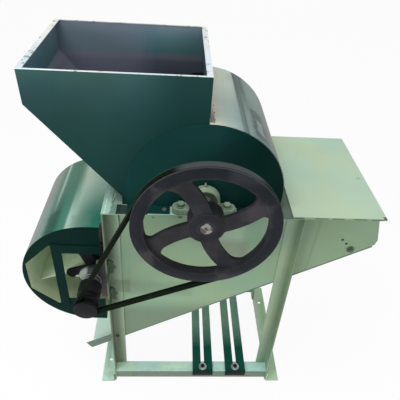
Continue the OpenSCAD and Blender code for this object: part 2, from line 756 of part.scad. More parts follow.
// Tailboard on its hinge rod; it rests on the pegs
module tailboard() framed() {
  half = tail_w / 2;
  rest = peg_low + asin((peg_r + touch + sheet_t / 2) / peg_dist);
  color("#94b79c") at_tail() difference() {
    union() {
      rotate([0, 180, 0]) rod_y(tail_rod_r + 2.5, -half, half, 32);
      rotate([0, -rest, 0]) block([tail_rod_r + 1.2, -half, -sheet_t / 2], [tail_len, half, sheet_t / 2]);
    }
    rotate([0, 180, 0]) rod_y(tail_rod_r + run_gap, -half - 1, half + 1, 32);
  }
}

// Keyway cut or key on top of a shaft, between y0 and y1
module key_block(y0, y1, slack) {
  block([-4 - slack, y0, shaft_r - 4 - slack], [4 + slack, y1, shaft_r + 3 + slack]);
}

module drum_shaft() framed() color("#c4c8ca") at_shaft() difference() {
  rod_y(shaft_r, shaft_end, half_w + 6);
  key_block(shaft_end - 1, shaft_end + hub_len, 0.05);
}

module pulley_key() framed() color("#a8acae") at_shaft() key_block(shaft_end, shaft_end + hub_len, 0);

// Half width of a belt groove at distance h below the belt's back
function groove_half(h) = belt_w / 2 - h * tan(belt_side) + belt_gap / cos(belt_side);

// Cross-section of one groove, to be cut at radius r
module groove_cut(r) {
  polygon([[r - groove_depth, -groove_half(groove_depth + 1)], [r, -groove_half(1)], [r + 2, -groove_half(-1)],
    [r + 2, groove_half(-1)], [r, groove_half(1)], [r - groove_depth, groove_half(groove_depth + 1)]]);
}

spoke_bend = (pulley_r - pulley_rim) / (2 * sin(20));

// Point at distance a from the origin and b from the centre of the spoke's bend
function spoke_point(a, b) = let (z = (a * a - b * b + spoke_bend * spoke_bend) / (2 * spoke_bend))
  [sqrt(a * a - z * z), z];

// Point on the line from c, carried 3 past p
function past(c, p) = p + 3 * (p - c) / norm(p - c);

// Round corner of radius f where the circle r meets a spoke's side; out is 1 on its rounded side
// and turn is 1 at the hub
module spoke_corner(r, f, out, turn) {
  side = spoke_bend + out * spoke_w / 2;
  a = r + turn * f;
  b = side + out * f;
  c = spoke_point(a, b);
  middle = [0, spoke_bend];
  difference() {
    polygon([c, past(c, c * r / a), past(c, spoke_point(r, side)),
      past(c, middle + (c - middle) * side / b)]);
    translate(c) circle(r = f);
  }
}

module spoke() {
  inner_r = pulley_r - pulley_rim;
  intersection() {
    translate([0, spoke_bend]) difference() {
      circle(r = spoke_bend + spoke_w / 2, $fn = 96);
      circle(r = spoke_bend - spoke_w / 2, $fn = 96);
    }
    intersection() {
      circle(r = inner_r + 1, $fn = 96);
      translate([0, -pulley_r / 2]) square(pulley_r);
    }
  }
  spoke_corner(inner_r, rim_corner, 1, -1);
  spoke_corner(inner_r, rim_fillet, -1, -1);
  spoke_corner(hub_r, hub_fillet, 1, 1);
  spoke_corner(hub_r, hub_fillet, -1, 1);
}

// Large pulley with four curved spokes
module drum_pulley() framed() color("#2b2d30") at_shaft() {
  hub_y = pulley_front + hub_set_back;
  translate([0, groove_y, 0]) rotate([90, 0, 0]) rotate_extrude($fn = 96) difference() {
    translate([pulley_r - pulley_rim, -pulley_w / 2]) square([pulley_rim, pulley_w]);
    groove_cut(pulley_r);
  }
  difference() {
    union() {
      rod_y(hub_r - 3, hub_y, hub_y + 3);
      rod_y(hub_r, hub_y + 2, hub_y + hub_len);
      slab(pulley_front + web_set_back, web_t) for (i = [0:3]) rotate(i * 90 + spoke_turn) spoke();
    }
    rod_y(shaft_r, hub_y - 1, hub_y + hub_len + 1);
    key_block(hub_y - 1, hub_y + hub_len + 1, 0.05);
  }
}

// Spider: a hub with one arm for each beater
module spider(y) {
  difference() {
    union() {
      rod_y(32, y - 20, y + 20);
      slab(y - 5, 10) for (i = [0:beater_count - 1]) rotate(i * 360 / beater_count)
        translate([0, -spider_arm_w / 2]) square([beater_r - 2, spider_arm_w]);
    }
    rod_y(shaft_r, y - 21, y + 21);
  }
}
module front_spider() framed() color("#7a5a3c") at_shaft() spider(-spider_pitch / 2);
module rear_spider() framed() color("#7a5a3c") at_shaft() spider(spider_pitch / 2);

module beater_bars() framed() color("#7a5a3c") at_shaft() for (i = [0:beater_count - 1])
  rotate([0, i * 360 / beater_count, 0])
    block([beater_r - beater_h, -beater_len / 2, spider_arm_w / 2],
          [beater_r, beater_len / 2, spider_arm_w / 2 + beater_t]);

module inner_ring(y) {
  difference() {
    rod_y(inner_ring_r, y - 19, y + 19);
    rod_y(shaft_r, y - 20, y + 20);
  }
}
module drum_inner_rings() framed() color("#c4c8ca") at_shaft() for (s = [-1, 1]) inner_ring(s * bearing_y);

module fan_shaft() framed() color("#c4c8ca") at_fan() difference() {
  rod_y(shaft_r, fan_bore, half_w + 6);
  key_block(fan_bore - 1, fan_bore + 54, 0.05);
}
module fan_key() framed() color("#a8acae") at_fan() key_block(fan_bore, fan_bore + 54, 0);
module fan_inner_rings() framed() color("#c4c8ca") at_fan() for (s = [-1, 1]) inner_ring(s * bearing_y);

// Small pulley with a closed face and two grooves; the belt runs in the front one
module fan_pulley() framed() color("#26282b") at_fan() difference() {
  translate([0, groove_y, 0]) rotate([90, 0, 0]) rotate_extrude($fn = 64) difference() {
    translate([0, groove_y - fan_pulley_front - fan_pulley_len]) square([fan_pulley_r, fan_pulley_len]);
    groove_cut(fan_pulley_r);
    translate([0, -belt_w - 9]) groove_cut(fan_pulley_r);
  }
  rod_y(shaft_r, fan_bore, fan_pulley_front + fan_pulley_len + 1);
  key_block(fan_bore, fan_bore + 54, 0.05);
}

// Flat-bar arms round a hub, with rounded tips
module fan_arms(y) {
  difference() {
    union() {
      rod_y(28, y, y + 30);
      slab(y, fan_arm_t) for (i = [0:3]) rotate(fan_arm_turn + i * 90) {
        translate([0, -fan_arm_w / 2]) square([fan_arm_r - fan_arm_w / 2, fan_arm_w]);
        translate([fan_arm_r - fan_arm_w / 2, 0]) circle(d = fan_arm_w);
      }
    }
    rod_y(shaft_r, y - 1, y + 31);
  }
}
module front_fan_arms() framed() color("#303336") at_fan() fan_arms(fan_arm_front);
module rear_fan_arms() framed() color("#303336") at_fan() translate([0, fan_arm_rear, 0])
  rear_twin() fan_arms(0);

// Flat paddles between the two sets of arms, with a tab on each arm
module fan_paddles() framed() color("#a9cfb9") at_fan() for (i = [0:3])
  rotate([0, -fan_arm_turn - i * 90, 0]) {
    y0 = fan_arm_front + fan_arm_t;
    y1 = fan_arm_rear - fan_arm_t;
    block([42, y0, -1.5], [paddle_r, y1, 1.5]);
    for (y = [y0, y1 - 3]) block([42, y, 1.5], [84, y + 3, 16]);
  }

front_top_rail();
rear_top_rail();
left_cross_rail();
right_cross_rail();
front_left_leg();
front_right_leg();
rear_left_leg();
rear_right_leg();
front_lower_bar();
rear_lower_bar();
left_base_bar();
right_base_bar();
front_side_plate();
rear_side_plate();
box_roof();
chute_floor();
front_end_plate();
rear_end_plate();
end_plate_bolts();
hopper_front_wall();
hopper_rear_wall();
hopper_left_wall();
hopper_right_wall();
hopper_rim();
drum_cover();
concave_grate();
front_bearing_block();
rear_bearing_block();
fan_front_bearing_block();
fan_rear_bearing_block();
bearing_bolts();
grease_nipples();
fan_casing();
fan_front_plate();
fan_rear_plate();
fan_guard_bars();
drive_belt();
left_motor_rail();
right_motor_rail();
motor_rail_bolts();
tailboard_pegs();
tailboard_rod();
tray_bolts();
drum_shaft();
drum_pulley();
pulley_key();
front_spider();
rear_spider();
beater_bars();
drum_inner_rings();
fan_shaft();
fan_pulley();
fan_key();
front_fan_arms();
rear_fan_arms();
fan_paddles();
fan_inner_rings();
tailboard();
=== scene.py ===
import json
import math
from collections import namedtuple

import bpy
from mathutils import Matrix, Vector


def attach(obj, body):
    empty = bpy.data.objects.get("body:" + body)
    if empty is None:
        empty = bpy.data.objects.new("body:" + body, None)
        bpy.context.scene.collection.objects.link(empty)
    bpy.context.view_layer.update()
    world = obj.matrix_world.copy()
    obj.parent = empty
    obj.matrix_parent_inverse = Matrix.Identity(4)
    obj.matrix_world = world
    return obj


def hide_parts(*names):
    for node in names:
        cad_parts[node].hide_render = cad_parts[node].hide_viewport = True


bl_info = {
    "name": "Shelling machine",
    "version": (1, 0, 0),
    "blender": (4, 5, 0),
    "location": "3D View > Sidebar > Machine",
    "description": "Dresses the shelling machine in paint, weld beads and worn metal",
    "category": "Object",
}

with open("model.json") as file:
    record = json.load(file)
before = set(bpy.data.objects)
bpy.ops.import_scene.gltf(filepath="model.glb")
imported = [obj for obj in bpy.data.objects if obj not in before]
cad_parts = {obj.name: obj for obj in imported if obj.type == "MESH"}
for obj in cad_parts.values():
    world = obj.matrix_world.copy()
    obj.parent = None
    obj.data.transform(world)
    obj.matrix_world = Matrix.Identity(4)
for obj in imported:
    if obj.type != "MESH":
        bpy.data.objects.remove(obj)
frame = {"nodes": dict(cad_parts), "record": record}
NODES = frame["nodes"]

X, Y, Z = 0, 1, 2
Tones = namedtuple("Tones", "axis low high stops")

# Places in the frame, in metres
MIDDLE_Y = -0.014
FAN_AXIS = (-0.3178, -0.02, 0.57)
DRUM_AXIS = (-0.0045, MIDDLE_Y, 0.8759)
HOPPER_MIDDLE = (-0.21, MIDDLE_Y, 1.05)
BODY_MIDDLE = (0.0, MIDDLE_Y, 0.65)
SPLASH_HEIGHT = 0.11

# Colours that several paints share
DIRT = (0.1, 0.12, 0.07)
OLIVE = (0.12, 0.16, 0.1)
SHADE = (0.07, 0.1, 0.075)
SMUDGE = (0.11, 0.16, 0.1)
BOLT_SHADE = (0.02, 0.05, 0.02)
CREAM = (0.8, 0.92, 0.64)
WARM, COOL = (1.05, 1.0, 0.93), (0.94, 1.0, 1.04)
WHITE = (1.0, 1.0, 1.0)

EVEN_GRAIN = (1.0, 1.0, 1.0)
COAT_ROUGHNESS = 0.12
PAINT_RELIEF = 0.0006
GRAIN_RELIEF = 0.0003

# Painted light and shade across the legs, from left to right: lit flange edges, and shade on the flange's inner face
# and in the angle's inner corner
LEFT_LEG_TONES = Tones(X, -0.2869, -0.225, (
    (0.0, (0.42, 0.55, 0.4)), (0.05, (0.3, 0.41, 0.28)), (0.12, (0.13, 0.185, 0.12)),
    (0.45, (0.2, 0.27, 0.18)), (0.75, (0.3, 0.42, 0.28)), (0.93, (0.36, 0.47, 0.34)),
    (1.0, (0.25, 0.34, 0.23))))
RIGHT_LEG_TONES = Tones(X, 0.225, 0.2869, (
    (0.0, (0.25, 0.35, 0.24)), (0.1, (0.29, 0.4, 0.27)), (0.35, (0.3, 0.42, 0.28)),
    (0.65, (0.2, 0.29, 0.19)), (0.8, (0.15, 0.23, 0.14)), (0.93, (0.3, 0.42, 0.28)),
    (1.0, (0.36, 0.48, 0.33))))
# Painted light and shade up the hopper: outside darker low and paler high where its flared walls catch more light,
# inside darker deep down and paler, bluish, towards the rim
HOPPER_TONES = Tones(Z, 0.85, 1.2, (
    (0.0, (0.0025, 0.031, 0.027)), (0.35, (0.004, 0.04, 0.036)), (0.65, (0.01, 0.055, 0.052)),
    (0.85, (0.023, 0.074, 0.076)), (1.0, (0.042, 0.11, 0.098))))
HOPPER_INNER_TONES = Tones(Z, 1.04, 1.2, (
    (0.0, (0.065, 0.08, 0.11)), (0.32, (0.09, 0.11, 0.15)), (0.4, (0.15, 0.165, 0.21)),
    (0.5, (0.08, 0.19, 0.21)), (0.75, (0.12, 0.24, 0.28)), (1.0, (0.24, 0.3, 0.38))))
# Painted shade across the drum's end plates, from left to right: darker towards the right
DISC_TONES = Tones(X, -0.2, 0.2, (
    (0.0, (0.006, 0.048, 0.042)), (0.55, (0.007, 0.045, 0.041)), (0.8, (0.001, 0.022, 0.018)),
    (1.0, (0.0005, 0.014, 0.011))))
# Painted shade and reflection along a motor rail, from the front to the rear: painted shade at its front end, a
# paler grey painted reflection towards the rear
RAIL_TONES = Tones(Y, -0.23, 0.2, (
    (0.0, (0.004, 0.03, 0.025)), (0.04, (0.005, 0.085, 0.055)), (0.24, (0.006, 0.1, 0.062)),
    (0.36, (0.11, 0.26, 0.19)), (0.5, (0.2, 0.37, 0.28)), (1.0, (0.17, 0.33, 0.25))))
# Painted highlights, reflections and shade round the covers, as shares of a turn, at their front and at their rear
FAN_LOW = ((0.852, (0.06, 0.16, 0.12)), (0.866, (0.14, 0.21, 0.17)), (0.876, (0.14, 0.19, 0.165)),
           (0.892, (0.15, 0.19, 0.17)), (1.0, (0.1, 0.13, 0.11)))
FAN_FRONT = ((0.0, (0.1, 0.14, 0.12)), (0.7, (0.02, 0.16, 0.1)), (0.742, (0.02, 0.17, 0.115)),
             (0.755, (0.06, 0.2, 0.14)), (0.768, (0.14, 0.26, 0.19)), (0.779, (0.29, 0.42, 0.33)),
             (0.793, (0.36, 0.5, 0.4)), (0.7975, (0.05, 0.19, 0.12)), (0.81, (0.035, 0.18, 0.12)),
             (0.824, (0.006, 0.075, 0.048)), (0.846, (0.006, 0.075, 0.048))) + FAN_LOW
FAN_REAR = ((0.0, (0.1, 0.14, 0.12)), (0.7, (0.36, 0.58, 0.46)), (0.74, (0.52, 0.7, 0.57)),
            (0.765, (0.56, 0.7, 0.58)), (0.777, (0.5, 0.64, 0.5)), (0.79, (0.15, 0.28, 0.2)),
            (0.8, (0.07, 0.18, 0.125)), (0.824, (0.06, 0.16, 0.115)), (0.835, (0.06, 0.17, 0.12)),
            (0.839, (0.38, 0.52, 0.46)), (0.845, (0.1, 0.2, 0.15))) + FAN_LOW
DRUM_LOW = ((0.5, (0.05, 0.08, 0.07)), (0.575, (0.08, 0.12, 0.105)), (0.6, (0.06, 0.095, 0.085)))
DRUM_FRONT = DRUM_LOW + (
    (0.622, (0.035, 0.085, 0.075)), (0.655, (0.09, 0.16, 0.14)), (0.668, (0.17, 0.24, 0.215)),
    (0.673, (0.14, 0.2, 0.18)), (0.6745, (0.012, 0.035, 0.03)), (0.679, (0.13, 0.19, 0.17)),
    (0.682, (0.012, 0.035, 0.03)), (0.6855, (0.2, 0.27, 0.25)), (0.7, (0.28, 0.35, 0.31)),
    (0.72, (0.37, 0.43, 0.37)), (0.735, (0.53, 0.53, 0.42)), (0.745, (0.66, 0.64, 0.54)))
DRUM_REAR = DRUM_LOW + (
    (0.615, (0.1, 0.17, 0.15)), (0.64, (0.14, 0.22, 0.2)), (0.655, (0.12, 0.2, 0.18)),
    (0.664, (0.03, 0.065, 0.055)), (0.675, (0.05, 0.1, 0.085)), (0.684, (0.015, 0.04, 0.035)),
    (0.688, (0.36, 0.44, 0.4)), (0.715, (0.46, 0.52, 0.46)), (0.735, (0.56, 0.6, 0.52)),
    (0.745, (0.66, 0.68, 0.6)))

# Rounded corners, in metres and degrees
MERGE_DISTANCE = 0.00001
FLAT_ANGLE = 0.6
SMOOTH_ANGLE = 30.0
BAR_CORNER = 0.0012
BLOCK_CORNER = 0.0025
PULLEY_CORNER = 0.0015
ARM_CORNER = 0.001
FIXING_CORNER = 0.0007

# Welds on the frame's front and rear faces: places, heights and lengths, in metres
HALF_WIDTH = 0.209
LEG_EDGE, BASE_EDGE = 0.285, 0.2872
BAR_WELD_LOW, BAR_WELD_HIGH = 0.024, 0.061
FOOT_WELD_HEIGHT, FOOT_WELD_LENGTH = 0.052, 0.036
ROOF_WELD_HEIGHT, ROOF_TACK_HEIGHT = 0.8335, 0.8322
ROOF_WELD_LEFT, ROOF_WELD_RIGHT = 0.236, 0.262
ROOF_TACKS = ((0.292, 0.036), (0.338, 0.033), (0.398, 0.035), (0.446, 0.03))
# Row of welds across the machine, at the drum cover's edge and along the hopper's foot
ROW_COUNT, ROW_START, ROW_PITCH = 9, -0.172, 0.036
COVER_EDGE_X, COVER_EDGE_Z = 0.0085, 1.0838
HOPPER_FOOT_X, HOPPER_FOOT_Z, HOPPER_WELD_LENGTH = -0.2415, 0.8335, 0.014
# Distance between two drops of a bead and their flattening, as shares of the bead's radius
BEAD_PITCH = 0.9
BEAD_SQUASH = (0.75, 1.0, 0.6)

# Name, place, aim, width and share of the key lamp's power
LAMPS = (
    ("key_lamp", (-0.7, -0.6, 3.2), (0.0, 0.0, 0.6), 1.6, 1.0),
    ("fill_lamp", (1.6, -1.6, 2.4), (0.0, 0.0, 0.7), 1.8, 0.25),
    ("side_lamp", (-1.7, -1.9, 1.2), (-0.1, 0.0, 0.35), 1.2, 0.65),
)
FLOOR_SIZE = 24.0
FLOOR_DROP = 0.0005
FLOOR_WHITE = 0.93
FLOOR_GLOW = 0.93
ROOM_COLOUR = (0.96, 0.98, 1.0)
SENSOR_WIDTH = 36.0


def deselect():
    """Leaves nothing selected, because every operator acts on all that is."""
    if bpy.context.object and bpy.context.object.mode != "OBJECT":
        bpy.ops.object.mode_set(mode="OBJECT")
    bpy.ops.object.select_all(action="DESELECT")


def settle(obj):
    """Puts a finished piece's place in its mesh."""
    deselect()
    obj.select_set(True)
    bpy.context.view_layer.objects.active = obj
    bpy.ops.object.transform_apply(location=True, rotation=True, scale=True)


# Shader nodes

VECTOR, COLOUR, VALUE = "NodeSocketVector", "NodeSocketColor", "NodeSocketFloat"


def rgba(colour):
    """A colour with its alpha."""
    return (*colour[:3], 1.0)


def feed(tree, socket, value):
    """Links a socket to another one, or sets its value."""
    if isinstance(value, bpy.types.NodeSocket):
        tree.links.new(value, socket)
    else:
        socket.default_value = rgba(value) if socket.type == "RGBA" else value


def noise(tree, vector, scale, detail=4.0, roughness=0.5, stretch=None):
    """A noise texture, with its coordinates stretched where asked."""
    node = tree.nodes.new("ShaderNodeTexNoise")
    node.inputs["Detail"].default_value = detail
    node.inputs["Roughness"].default_value = roughness
    feed(tree, node.inputs["Scale"], scale)
    if stretch:
        mapping = tree.nodes.new("ShaderNodeMapping")
        mapping.inputs["Scale"].default_value = stretch
        tree.links.new(vector, mapping.inputs["Vector"])
        vector = mapping.outputs["Vector"]
    tree.links.new(vector, node.inputs["Vector"])
    return node.outputs["Fac"]


def ramp(tree, value, low, high):
    """Spreads the stretch from low to high softly over 0 to 1."""
    node = tree.nodes.new("ShaderNodeMapRange")
    node.interpolation_type = "SMOOTHSTEP"
    tree.links.new(value, node.inputs["Value"])
    node.inputs["From Min"].default_value = low
    node.inputs["From Max"].default_value = high
    return node.outputs["Result"]


def math_node(tree, operation, *values):
    """A sum on numbers."""
    node = tree.nodes.new("ShaderNodeMath")
    node.operation = operation
    for socket, value in zip(node.inputs, values):
        feed(tree, socket, value)
    return node.outputs["Value"]


def vector_node(tree, operation, a, b=None, scale=None):
    """A sum on vectors."""
    node = tree.nodes.new("ShaderNodeVectorMath")
    node.operation = operation
    for key, value in ((0, a), (1, b), ("Scale", scale)):
        if value is not None:
            feed(tree, node.inputs[key], value)
    return node.outputs["Value" if operation in ("DOT_PRODUCT", "LENGTH") else "Vector"]


def mix_colour(tree, factor, a, b):
    """A colour between two others."""
    node = tree.nodes.new("ShaderNodeMix")
    node.data_type = "RGBA"
    for index, value in ((0, factor), (6, a), (7, b)):
        feed(tree, node.inputs[index], value)
    return node.outputs[2]


def axes(tree, vector):
    """The three numbers of a vector."""
    node = tree.nodes.new("ShaderNodeSeparateXYZ")
    tree.links.new(vector, node.inputs[0])
    return node.outputs


def colour_ramp(tree, value, stops):
    """Colours placed along a value from 0 to 1."""
    node = tree.nodes.new("ShaderNodeValToRGB")
    band = node.color_ramp
    while len(band.elements) < len(stops):
        band.elements.new(0.5)
    for item, (place, colour) in zip(band.elements, stops):
        item.position = place
        item.color = rgba(colour)
    tree.links.new(value, node.inputs["Fac"])
    return node.outputs["Color"]


def spread(tree, where, axis, low, high, stops):
    """Colours placed along an axis between two places."""
    node = tree.nodes.new("ShaderNodeMapRange")
    tree.links.new(axes(tree, where)[axis], node.inputs["Value"])
    node.inputs["From Min"].default_value = low
    node.inputs["From Max"].default_value = high
    return colour_ramp(tree, node.outputs["Result"], stops)


def toned(tree, where, colour):
    """A plain colour as it is, or tones along their axis."""
    return spread(tree, where, *colour) if isinstance(colour, Tones) else colour


def bump(tree, bsdf, height, strength, distance):
    """Small relief on a shader's surface."""
    node = tree.nodes.new("ShaderNodeBump")
    node.inputs["Strength"].default_value = strength
    node.inputs["Distance"].default_value = distance
    tree.links.new(height, node.inputs["Height"])
    tree.links.new(node.outputs["Normal"], bsdf.inputs["Normal"])


# Effects that several paints share, as node groups


def effect(name, inputs, outputs):
    """A new node group, with the names of its sockets for each kind."""
    group = bpy.data.node_groups.new(name, "ShaderNodeTree")
    for in_out, sockets in (("INPUT", inputs), ("OUTPUT", outputs)):
        for kind, labels in sockets.items():
            for label in labels:
                group.interface.new_socket(label, in_out=in_out, socket_type=kind)
    given = group.nodes.new("NodeGroupInput").outputs
    made = group.nodes.new("NodeGroupOutput").inputs
    return group, given, made


def paint_effect():
    """Sprayed paint: upward faces paler as painted light, broad tone shifts, runs, spots and splashes near the
    ground.
    """
    group, given, made = effect(
        "weathered_and_lit_paint",
        {VECTOR: ("Vector", "Normal"), COLOUR: ("Colour", "Top Colour", "Grime"),
         VALUE: ("Blotch Scale", "Blotch", "Grime Amount", "Roughness")},
        {COLOUR: ("Colour",), VALUE: ("Roughness", "Height")},
    )
    vector = given["Vector"]
    # Painted light: faces that look up take the paler top colour
    upward = ramp(group, axes(group, given["Normal"])[Z], 0.3, 0.9)
    base = mix_colour(group, upward, given["Colour"], given["Top Colour"])
    broad = ramp(group, noise(group, vector, given["Blotch Scale"], 3.0), 0.3, 0.7)
    fine = noise(group, vector, 90.0, 5.0, 0.6)
    runs = ramp(group, noise(group, vector, 22.0, 4.0, 0.6, (1.0, 1.0, 0.12)), 0.55, 0.78)
    spots = ramp(group, noise(group, vector, 75.0, 6.0, 0.7), 0.68, 0.76)
    low = ramp(group, axes(group, vector)[Z], SPLASH_HEIGHT, 0.0)
    splash = math_node(group, "MULTIPLY", low, ramp(group, noise(group, vector, 28.0, 5.0, 0.7), 0.42, 0.62))
    drift = ramp(group, noise(group, vector, 4.5, 2.0), 0.35, 0.65)
    toned = vector_node(group, "MULTIPLY", base, mix_colour(group, drift, WARM, COOL))
    shade = math_node(group, "MULTIPLY_ADD", broad, given["Blotch"], 1.0)
    toned = vector_node(group, "SCALE", toned, scale=shade)
    dirt = math_node(group, "MAXIMUM", math_node(group, "MULTIPLY", runs, 0.5), spots)
    dirt = math_node(group, "MAXIMUM", dirt, math_node(group, "MULTIPLY", splash, 0.9))
    dirt = math_node(group, "MULTIPLY", dirt, given["Grime Amount"])
    group.links.new(mix_colour(group, dirt, toned, given["Grime"]), made["Colour"])
    grain = math_node(group, "MULTIPLY", math_node(group, "SUBTRACT", fine, 0.5), 0.2)
    rough = math_node(group, "ADD", given["Roughness"], grain)
    rough = math_node(group, "ADD", rough, math_node(group, "MULTIPLY", dirt, 0.35))
    group.links.new(rough, made["Roughness"])
    height = math_node(group, "ADD", math_node(group, "MULTIPLY", fine, 0.5),
                       math_node(group, "MULTIPLY", broad, 0.4))
    group.links.new(height, made["Height"])


def inside_effect():
    """A mask of the faces that look towards a point inside a shell."""
    group, given, made = effect("inside_faces", {VECTOR: ("Vector", "Normal", "Middle")}, {VALUE: ("Mask",)})
    towards = vector_node(group, "SUBTRACT", given["Middle"], given["Vector"])
    inward = vector_node(group, "DOT_PRODUCT", towards, given["Normal"])
    group.links.new(ramp(group, inward, 0.0, 0.002), made["Mask"])


def turn_effect():
    """How far round an axis along Y a point lies, from 0 to 1, a little wavy along the axis."""
    group, given, made = effect("turn_round_axis", {VECTOR: ("Vector", "Axis"), VALUE: ("Wave",)},
                                {VALUE: ("Turn",)})
    x, y, z = axes(group, vector_node(group, "SUBTRACT", given["Vector"], given["Axis"]))
    angle = math_node(group, "MULTIPLY", math_node(group, "ARCTAN2", z, x), 0.5 / math.pi)
    wave = math_node(group, "SUBTRACT", noise(group, given["Vector"], 6.0, 3.0), 0.5)
    angle = math_node(group, "ADD", angle, math_node(group, "MULTIPLY", wave, given["Wave"]))
    group.links.new(math_node(group, "ADD", angle, 0.5), made["Turn"])


def soft_border(group, given, made, depth):
    """Makes a mask of how deep in a mark a point lies, with a soft border made ragged by noise."""
    stray = math_node(group, "SUBTRACT", noise(group, given["Vector"], 60.0, 4.0, 0.6), 0.5)
    depth = math_node(group, "ADD", depth, math_node(group, "MULTIPLY", stray, given["Ragged"]))
    reach = math_node(group, "DIVIDE", depth, given["Soft"])
    group.links.new(ramp(group, reach, 0.0, 1.0), made["Mask"])


def box_effect():
    """A mask of the room between two corners."""
    group, given, made = effect("soft_box", {VECTOR: ("Vector", "Low", "High"), VALUE: ("Soft", "Ragged")},
                                {VALUE: ("Mask",)})
    vector = given["Vector"]
    x, y, z = axes(group, vector_node(
        group, "MINIMUM", vector_node(group, "SUBTRACT", vector, given["Low"]),
        vector_node(group, "SUBTRACT", given["High"], vector)))
    soft_border(group, given, made, math_node(group, "MINIMUM", math_node(group, "MINIMUM", x, y), z))


def ring_effect():
    """A mask of the band between two distances from an axis along Y."""
    group, given, made = effect(
        "soft_ring", {VECTOR: ("Vector", "Axis"), VALUE: ("Inner", "Outer", "Soft", "Ragged")},
        {VALUE: ("Mask",)})
    place = vector_node(group, "SUBTRACT", given["Vector"], given["Axis"])
    away = vector_node(group, "LENGTH", vector_node(group, "MULTIPLY", place, (1.0, 0.0, 1.0)))
    soft_border(group, given, made, math_node(
        group, "MINIMUM", math_node(group, "SUBTRACT", away, given["Inner"]),
        math_node(group, "SUBTRACT", given["Outer"], away)))


def use(tree, name, vector, **values):
    """An effect in a material's tree, with its values."""
    node = tree.nodes.new("ShaderNodeGroup")
    node.node_tree = bpy.data.node_groups[name]
    tree.links.new(vector, node.inputs["Vector"])
    if "Normal" in node.inputs:
        normal = tree.nodes.new("ShaderNodeNewGeometry").outputs["Normal"]
        tree.links.new(normal, node.inputs["Normal"])
    for key, value in values.items():
        feed(tree, node.inputs[key.replace("_", " ")], value)
    return node


# Marks in the paint, in the frame's coordinates: stains and seams, and painted shade and highlights


def box(low, high, colour, strength=1.0, soft=0.002, ragged=0.0):
    """A mark of another colour between two corners."""
    return "soft_box", {"Low": low, "High": high, "Soft": soft, "Ragged": ragged}, colour, strength


def ring(axis, inner, outer, colour, strength=1.0, soft=0.001, ragged=0.0):
    """A mark of another colour round an axis along Y."""
    values = {"Axis": axis, "Inner": inner, "Outer": outer, "Soft": soft, "Ragged": ragged}
    return "soft_ring", values, colour, strength


def mark_all(tree, where, colour_out, marks):
    """The paint's colour with its marks laid over it."""
    for name, values, colour, strength in marks:
        mask = use(tree, name, where, **values).outputs["Mask"]
        colour_out = mix_colour(tree, math_node(tree, "MULTIPLY", mask, strength), colour_out, colour)
    return colour_out


# Kinds of material


def shader(name):
    """A new material and its Principled shader, with Object coordinates to read."""
    material = bpy.data.materials.new(name)
    material.use_nodes = True
    tree = material.node_tree
    where = tree.nodes.new("ShaderNodeTexCoord").outputs["Object"]
    return material, tree, tree.nodes["Principled BSDF"], where


def finish_paint(tree, bsdf, node, colour_out, gloss, coat=0.0, bump_strength=0.15):
    """Joins a paint to its shader."""
    tree.links.new(colour_out, bsdf.inputs["Base Color"])
    tree.links.new(node.outputs["Roughness"], bsdf.inputs["Roughness"])
    bump(tree, bsdf, node.outputs["Height"], bump_strength, PAINT_RELIEF)
    bsdf.inputs["Specular IOR Level"].default_value = gloss
    bsdf.inputs["Coat Weight"].default_value = coat
    bsdf.inputs["Coat Roughness"].default_value = COAT_ROUGHNESS


def paint(name, colour, grime, roughness, blotch, scale, grime_amount, top=None, inner=None, middle=None,
          gloss=0.3, bump_strength=0.15, marks=()):
    """A painted sheet or bar, with a paler top colour on its upward faces as painted light where one is given, and
    another colour on the faces towards a middle point where one is given.
    """
    material, tree, bsdf, where = shader(name)
    side = toned(tree, where, colour)
    # Painted light: the upward faces take the top colour
    upper = top or side
    if inner:
        inner = toned(tree, where, inner)
        mask = use(tree, "inside_faces", where, Middle=middle).outputs["Mask"]
        side = mix_colour(tree, mask, side, inner)
        upper = mix_colour(tree, mask, upper, inner)
    node = use(tree, "weathered_and_lit_paint", where, Colour=side, Top_Colour=upper, Grime=grime, Blotch_Scale=scale,
               Blotch=blotch, Grime_Amount=grime_amount, Roughness=roughness)
    colour_out = mark_all(tree, where, node.outputs["Colour"], marks)
    finish_paint(tree, bsdf, node, colour_out, gloss, bump_strength=bump_strength)
    return material


def cover_paint(name, axis, front, rear, reach, inner, grime, wave, roughness, gloss, coat, marks):
    """Paint on a round cover, with long soft bands of painted highlight, reflection and shade that change from its
    front to its rear.
    """
    material, tree, bsdf, where = shader(name)
    turn = use(tree, "turn_round_axis", where, Axis=axis, Wave=wave).outputs["Turn"]
    along = ramp(tree, axes(tree, where)[Y], *reach)
    painted_light_bands = mix_colour(tree, along, colour_ramp(tree, turn, front), colour_ramp(tree, turn, rear))
    mask = use(tree, "inside_faces", where, Middle=axis).outputs["Mask"]
    coloured = mix_colour(tree, mask, painted_light_bands, inner)
    node = use(tree, "weathered_and_lit_paint", where, Colour=coloured, Top_Colour=coloured, Grime=grime,
               Blotch_Scale=9.0, Blotch=0.12, Grime_Amount=0.25, Roughness=roughness)
    finish_paint(tree, bsdf, node, mark_all(tree, where, node.outputs["Colour"], marks), gloss, coat)
    return material


